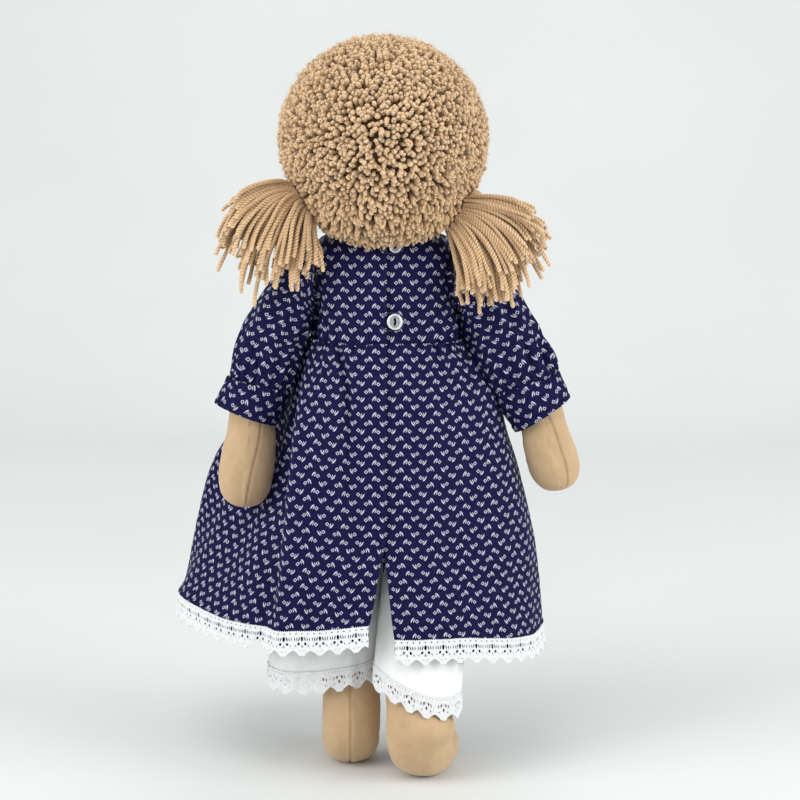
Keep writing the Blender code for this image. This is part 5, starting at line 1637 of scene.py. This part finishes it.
def hem_lace_field(s, d, rep):
    """s along the lace, d down from its top edge, in millimetres."""
    x = (s + rep / 2) % rep - rep / 2  # 0 under a cluster
    k = np.abs(x) / (rep / 2)
    # scalloped lower edge: rounded tips under the clusters, round arches between
    low = 15.1 - 2.9 * np.clip((k - 0.30) / 0.70, 0, 1) ** 0.55 - 0.35 * k**2
    F = low - d
    top = 0.42 + 0.30 * np.cos(s * TAU / 1.27)
    F = np.minimum(F, d - top)
    for i in (-1, 0, 1):
        F = hole(F, x, d, i * rep / 3, 1.95, 0.52, 0.42)
    F = hole(F, x, d, 0.0, 5.0, 0.78, 1.5)
    F = hole(F, x, d, 1.75, 5.1, 0.36, 1.35, -18)
    F = hole(F, x, d, -1.75, 5.1, 0.36, 1.35, 18)
    F = hole(F, x, d, 3.1, 5.2, 0.30, 1.25, -8)
    F = hole(F, x, d, -3.1, 5.2, 0.30, 1.25, 8)
    F = hole(F, x, d, rep / 2 - 0.9, 5.2, 0.28, 1.2, 4)
    F = hole(F, x, d, -rep / 2 + 0.9, 5.2, 0.28, 1.2, -4)
    F = hole(F, x, d, 2.0, 8.0, 0.72, 0.95, -24)
    F = hole(F, x, d, -2.0, 8.0, 0.72, 0.95, 24)
    F = hole(F, x, d, 0.0, 9.6, 0.62, 0.85)
    F = hole(F, x, d, 3.9, 9.3, 0.34, 0.75, -30)
    F = hole(F, x, d, -3.9, 9.3, 0.34, 0.75, 30)
    F = hole(F, x, d, 1.1, 12.3, 0.26, 0.7, 14)
    F = hole(F, x, d, -1.1, 12.3, 0.26, 0.7, -14)
    return F


def leg_lace_field(s, d, rep):
    x = (s + rep / 2) % rep - rep / 2
    k = np.abs(x) / (rep / 2)
    low = 14.5 - 3.3 * np.clip((k - 0.34) / 0.66, 0, 1) ** 0.6 - 0.3 * k**2
    F = low - d
    F = np.minimum(F, d - (0.4 + 0.25 * np.cos(s * TAU / 1.4)))
    for i in range(-2, 3):
        F = hole(F, x, d, i * rep / 5, 2.0, 0.34, 0.32)
    F = hole(F, x, d, 1.55, 5.6, 0.62, 1.1, -14)
    F = hole(F, x, d, -1.55, 5.6, 0.62, 1.1, 14)
    F = hole(F, x, d, 0.0, 4.6, 0.3, 0.5)
    F = hole(F, x, d, 0.0, 8.2, 0.72, 1.05)
    F = hole(F, x, d, 3.3, 6.2, 0.34, 1.15, -10)
    F = hole(F, x, d, -3.3, 6.2, 0.34, 1.15, 10)
    F = hole(F, x, d, rep / 2, 5.6, 0.3, 1.2)
    F = hole(F, x, d, 2.9, 9.6, 0.32, 0.7, -34)
    F = hole(F, x, d, -2.9, 9.6, 0.32, 0.7, 34)
    return F


def lace(name, top, nrm, field, rep, phase, deep, seed, node, body, mat=LACE, flare=0.10, squash=None, tilt=None):
    """A strip of lace that hangs from the line top."""
    S = np.concatenate([[0], np.cumsum(np.linalg.norm(np.diff(top, axis=0), axis=1))])
    step_mm = 0.27
    x = np.arange(0, S[-1], step_mm)
    y = np.arange(-0.1, deep + 0.5, step_mm)
    g = noise2(x[None], y[:, None], seed, 3.0) * 0.09
    F = field(x[None] + phase + g, y[:, None] + g + 0 * x[None], rep)
    F = np.minimum(F, x[None] + 0.05 + 0 * y[:, None])
    F = np.minimum(F, S[-1] - x[None] + 0.05 - step_mm + 0 * y[:, None])
    F[:, :1] = np.minimum(F[:, :1], -0.1)
    F[:, -1:] = np.minimum(F[:, -1:], -0.1)
    F[:1] = np.minimum(F[:1], -0.1)
    F[-1:] = np.minimum(F[-1:], -0.1)
    pts, polys = marching(F, x, y)
    px, py = pts[:, 0], pts[:, 1]
    base = np.stack([np.interp(px, S, top[:, i]) for i in range(3)], 1)
    nn = unit(np.stack([np.interp(px, S, nrm[:, i]) for i in range(3)], 1) * (1, 1, 0.0))
    wave = 0.55 * noise1(px, seed + 1, 9.0) * (py / deep) + 0.35 * noise1(px, seed + 2, 3.6) * (py / deep) ** 2
    # raised threads round the openings make the lace uneven
    relief = 0.12 * noise2(px, py, seed + 3, 1.1)
    P3 = base + nn * (wave + relief + flare * py)[:, None]
    P3[:, 2] -= py * (1.0 if tilt is None else 1.0 + 0 * py)
    if tilt is not None:
        P3[:, 2] -= py / deep * tilt(base)
    uv = np.concatenate([np.stack([px[p], py[p]], -1).reshape(-1, 2) for p in polys]) * 0.001
    ob = new_mesh(name, P3, polys, mat, uv)
    ob = thicken(ob, 0.42, 0.0)
    if node:
        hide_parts(node)
    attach(ob, body)
    if squash:
        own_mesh(ob)
    return ob


for half, word in ((1, "left"), (-1, "right")):
    top, nrm, _ = HEM_ROWS[half]
    line = top + (0, 0, 1.2) + nrm * 0.35
    lace("hem_lace_cloth_" + word, line, nrm, hem_lace_field, 10.6, 3.0, 15.1, 141 + half, "hem_lace_" + word, "torso",
         squash="hip_" + word)
    top, nrm, _ = BLOOM_ROWS[half]
    line = top + (0, 0, 1.2) + nrm * 0.35
    lace("bloomers_lace_cloth_" + word, line, nrm, leg_lace_field, 11.3, 2.0, 14.5, 151 + half, "bloomers_lace_" + word,
         "leg_" + word, flare=0.03)

# the neckline's narrow edging
a = np.linspace(0, TAU * 0.9995, 400)
x, y = oval(27.4, 20.6, a, 2.2)
line = np.stack([x, y, 0 * x + 331.2], 1)
nrm = unit(np.stack([x / 27, y / 20, 0 * x], 1))


def edging_field(s, d, rep):
    x = (s + rep / 2) % rep - rep / 2
    F = np.minimum(3.4 - 0 * x - d, d - 0.35 - 0.3 * np.abs(np.sin(s * math.pi / rep)))
    F = hole(F, x, d, 0, 1.5, 0.42, 0.5)
    return F


lace("neck_lace_cloth", line, nrm, edging_field, 2.2, 0.0, 3.6, 171, "neck_lace", "torso", flare=-0.18)

# ------------------------------------------------------------------ buttons, loops, thread


def button(name, centre, r, thick, slot_w, slot_h, node):
    cx, cy, cz = centre
    N, K = 96, 60
    ang = np.arange(N) * TAU / N
    # the slot is a pointed oval
    px = slot_w * np.sin(ang) * (0.55 + 0.45 * np.abs(np.sin(ang)))
    pz = slot_h * np.cos(ang)
    ox, oz = r * np.sin(ang), r * np.cos(ang)
    half = thick / 2
    prof = [(0.0, -half + 0.15), (0.0, half - 0.62), (0.03, half - 0.40), (0.12, half - 0.40), (0.40, half - 0.42),
            (0.58, half - 0.40), (0.68, half - 0.10), (0.82, half + 0.06), (0.94, half - 0.10), (1.0, half - 0.5),
            (1.0, -half + 0.5), (0.95, -half + 0.1), (0.8, -half), (0.4, -half), (0.05, -half + 0.02)]
    prof = np.array(prof + prof[:1])
    tt = np.linspace(0, 1, K)
    pr = rows_at(prof, tt)[:-1]
    pr[:, 0] = np.clip(pr[:, 0], 0, 1)
    P = np.stack([
        cx + px[None] + (ox - px)[None] * pr[:, :1],
        cy + pr[:, 1:] + 0 * ox[None],
        cz + pz[None] + (oz - pz)[None] * pr[:, :1],
    ], -1)
    R = len(P)
    flat = P.reshape(-1, 3)
    r_, c_ = np.meshgrid(np.arange(R), np.arange(N), indexing="ij")
    f = np.stack([r_ * N + c_, r_ * N + (c_ + 1) % N, ((r_ + 1) % R) * N + (c_ + 1) % N, ((r_ + 1) % R) * N + c_], -1).reshape(-1, 4)
    a_, b_, c3, d_ = (flat[f[:, k]] for k in range(4))
    vol = np.sum(np.cross(b_ - a_, c3 - a_) * (a_ - centre)) + np.sum(np.cross(c3 - a_, d_ - a_) * (a_ - centre))
    if vol < 0:
        f = f[:, ::-1]
    ring = np.broadcast_to(pr[:, :1], (R, N)).reshape(-1)
    ob = new_mesh(name, flat, [f], PEARL, None, {"ring": ring})
    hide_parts(node)
    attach(ob, "torso")
    return ob


button("button_disc_lower", (-6.4, 33.4, 276.7), 4.65, 1.8, 0.85, 2.7, "back_button")
button("button_disc_upper", (-6.6, 27.3, 320.4), 3.7, 1.7, 0.7, 2.0, "neck_button")


def thread_path(points, n):
    return rows_at(points, np.linspace(0, 1, n))


def round_loop(name, centre, r, y0, node):
    cx, cy, cz = centre
    pts = [(1.8, y0, cz + r * 0.55), (-1.5, y0 + 0.6, cz + r * 0.9), (cx + r * 0.45, cy, cz + r * 1.0)]
    for i in range(1, 8):
        q = math.radians(90 + 22.5 * i)
        pts.append((cx + r * math.cos(q), cy, cz + r * math.sin(q)))
    pts += [(cx + r * 0.45, cy, cz - r * 1.0), (-1.5, y0 + 0.6, cz - r * 0.9), (1.8, y0, cz - r * 0.55)]
    p = thread_path(pts, 120)
    ob = tubes(name, p[None], 0.32, 8, NAVY_THREAD, 0.22, 1.3, plies=2)
    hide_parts(node)
    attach(ob, "torso")


round_loop("loop_lower", (-6.4, 32.9, 276.7), 5.3, 32.6, "button_loop_lower")
round_loop("loop_upper", (-6.6, 26.9, 320.4), 4.3, 26.6, "button_loop_upper")

# ------------------------------------------------------------------ materials of the hidden solids
for name, mat in (
    ("torso_stuffing", WOOL), ("neck_core", JERSEY_PLAIN), ("neck_thread", THREAD), ("head_stuffing", WOOL),
    ("arm_stuffing_left", WOOL), ("arm_stuffing_right", WOOL), ("shoulder_thread_left", THREAD),
    ("shoulder_thread_right", THREAD), ("leg_stuffing_left", WOOL), ("leg_stuffing_right", WOOL),
    ("hip_thread_left", THREAD), ("hip_thread_right", THREAD), ("waist_elastic", ELASTIC),
):
    ob = bpy.data.objects[name]
    ob.data.materials.clear()
    ob.data.materials.append(mat)

# ------------------------------------------------------------------ floor and light
bm = bmesh.new()
bmesh.ops.create_grid(bm, x_segments=120, y_segments=120, size=3.0)
for v in bm.verts:
    back = max(0.0, -v.co.y - 1.1)
    v.co.z = -0.0002 + back * back * 0.9
me = bpy.data.meshes.new("ground")
bm.to_mesh(me)
bm.free()
for p in me.polygons:
    p.use_smooth = True
ground = bpy.data.objects.new("ground", me)
bpy.context.scene.collection.objects.link(ground)
me.materials.append(GROUND)


def area_light(name, where, aim, size, power, colour=(1, 1, 1)):
    data = bpy.data.lights.new(name, "AREA")
    data.shape = "RECTANGLE"
    data.size, data.size_y = size
    data.energy = power
    data.color = colour
    ob = bpy.data.objects.new(name, data)
    bpy.context.scene.collection.objects.link(ob)
    ob.location = where
    ob.rotation_euler = (Vector(aim) - Vector(where)).to_track_quat("-Z", "Y").to_euler()
    return ob


area_light("light_top", (0.5, 0.9, 1.9), (0, 0, 0.22), (1.5, 1.2), 13.5, (1.0, 0.99, 0.97))
area_light("light_left", (1.7, 0.9, 0.9), (0, 0, 0.22), (1.2, 1.4), 24.5, (1.0, 0.99, 0.98))
area_light("light_right", (-1.8, 0.8, 0.9), (0, 0, 0.22), (1.2, 1.4), 31.5, (1.0, 0.995, 0.985))
area_light("light_behind", (-0.2, -1.8, 1.6), (0, 0, 0.25), (1.8, 1.2), 9.0, (1.0, 1.0, 1.0))
w = bpy.data.worlds.new("studio")
bpy.context.scene.world = w
w.use_nodes = True
bg = w.node_tree.nodes["Background"]
bg.inputs[0].default_value = (0.96, 0.985, 1.0, 1)
bg.inputs[1].default_value = 0.47
bpy.context.scene.view_settings.view_transform = "Standard"
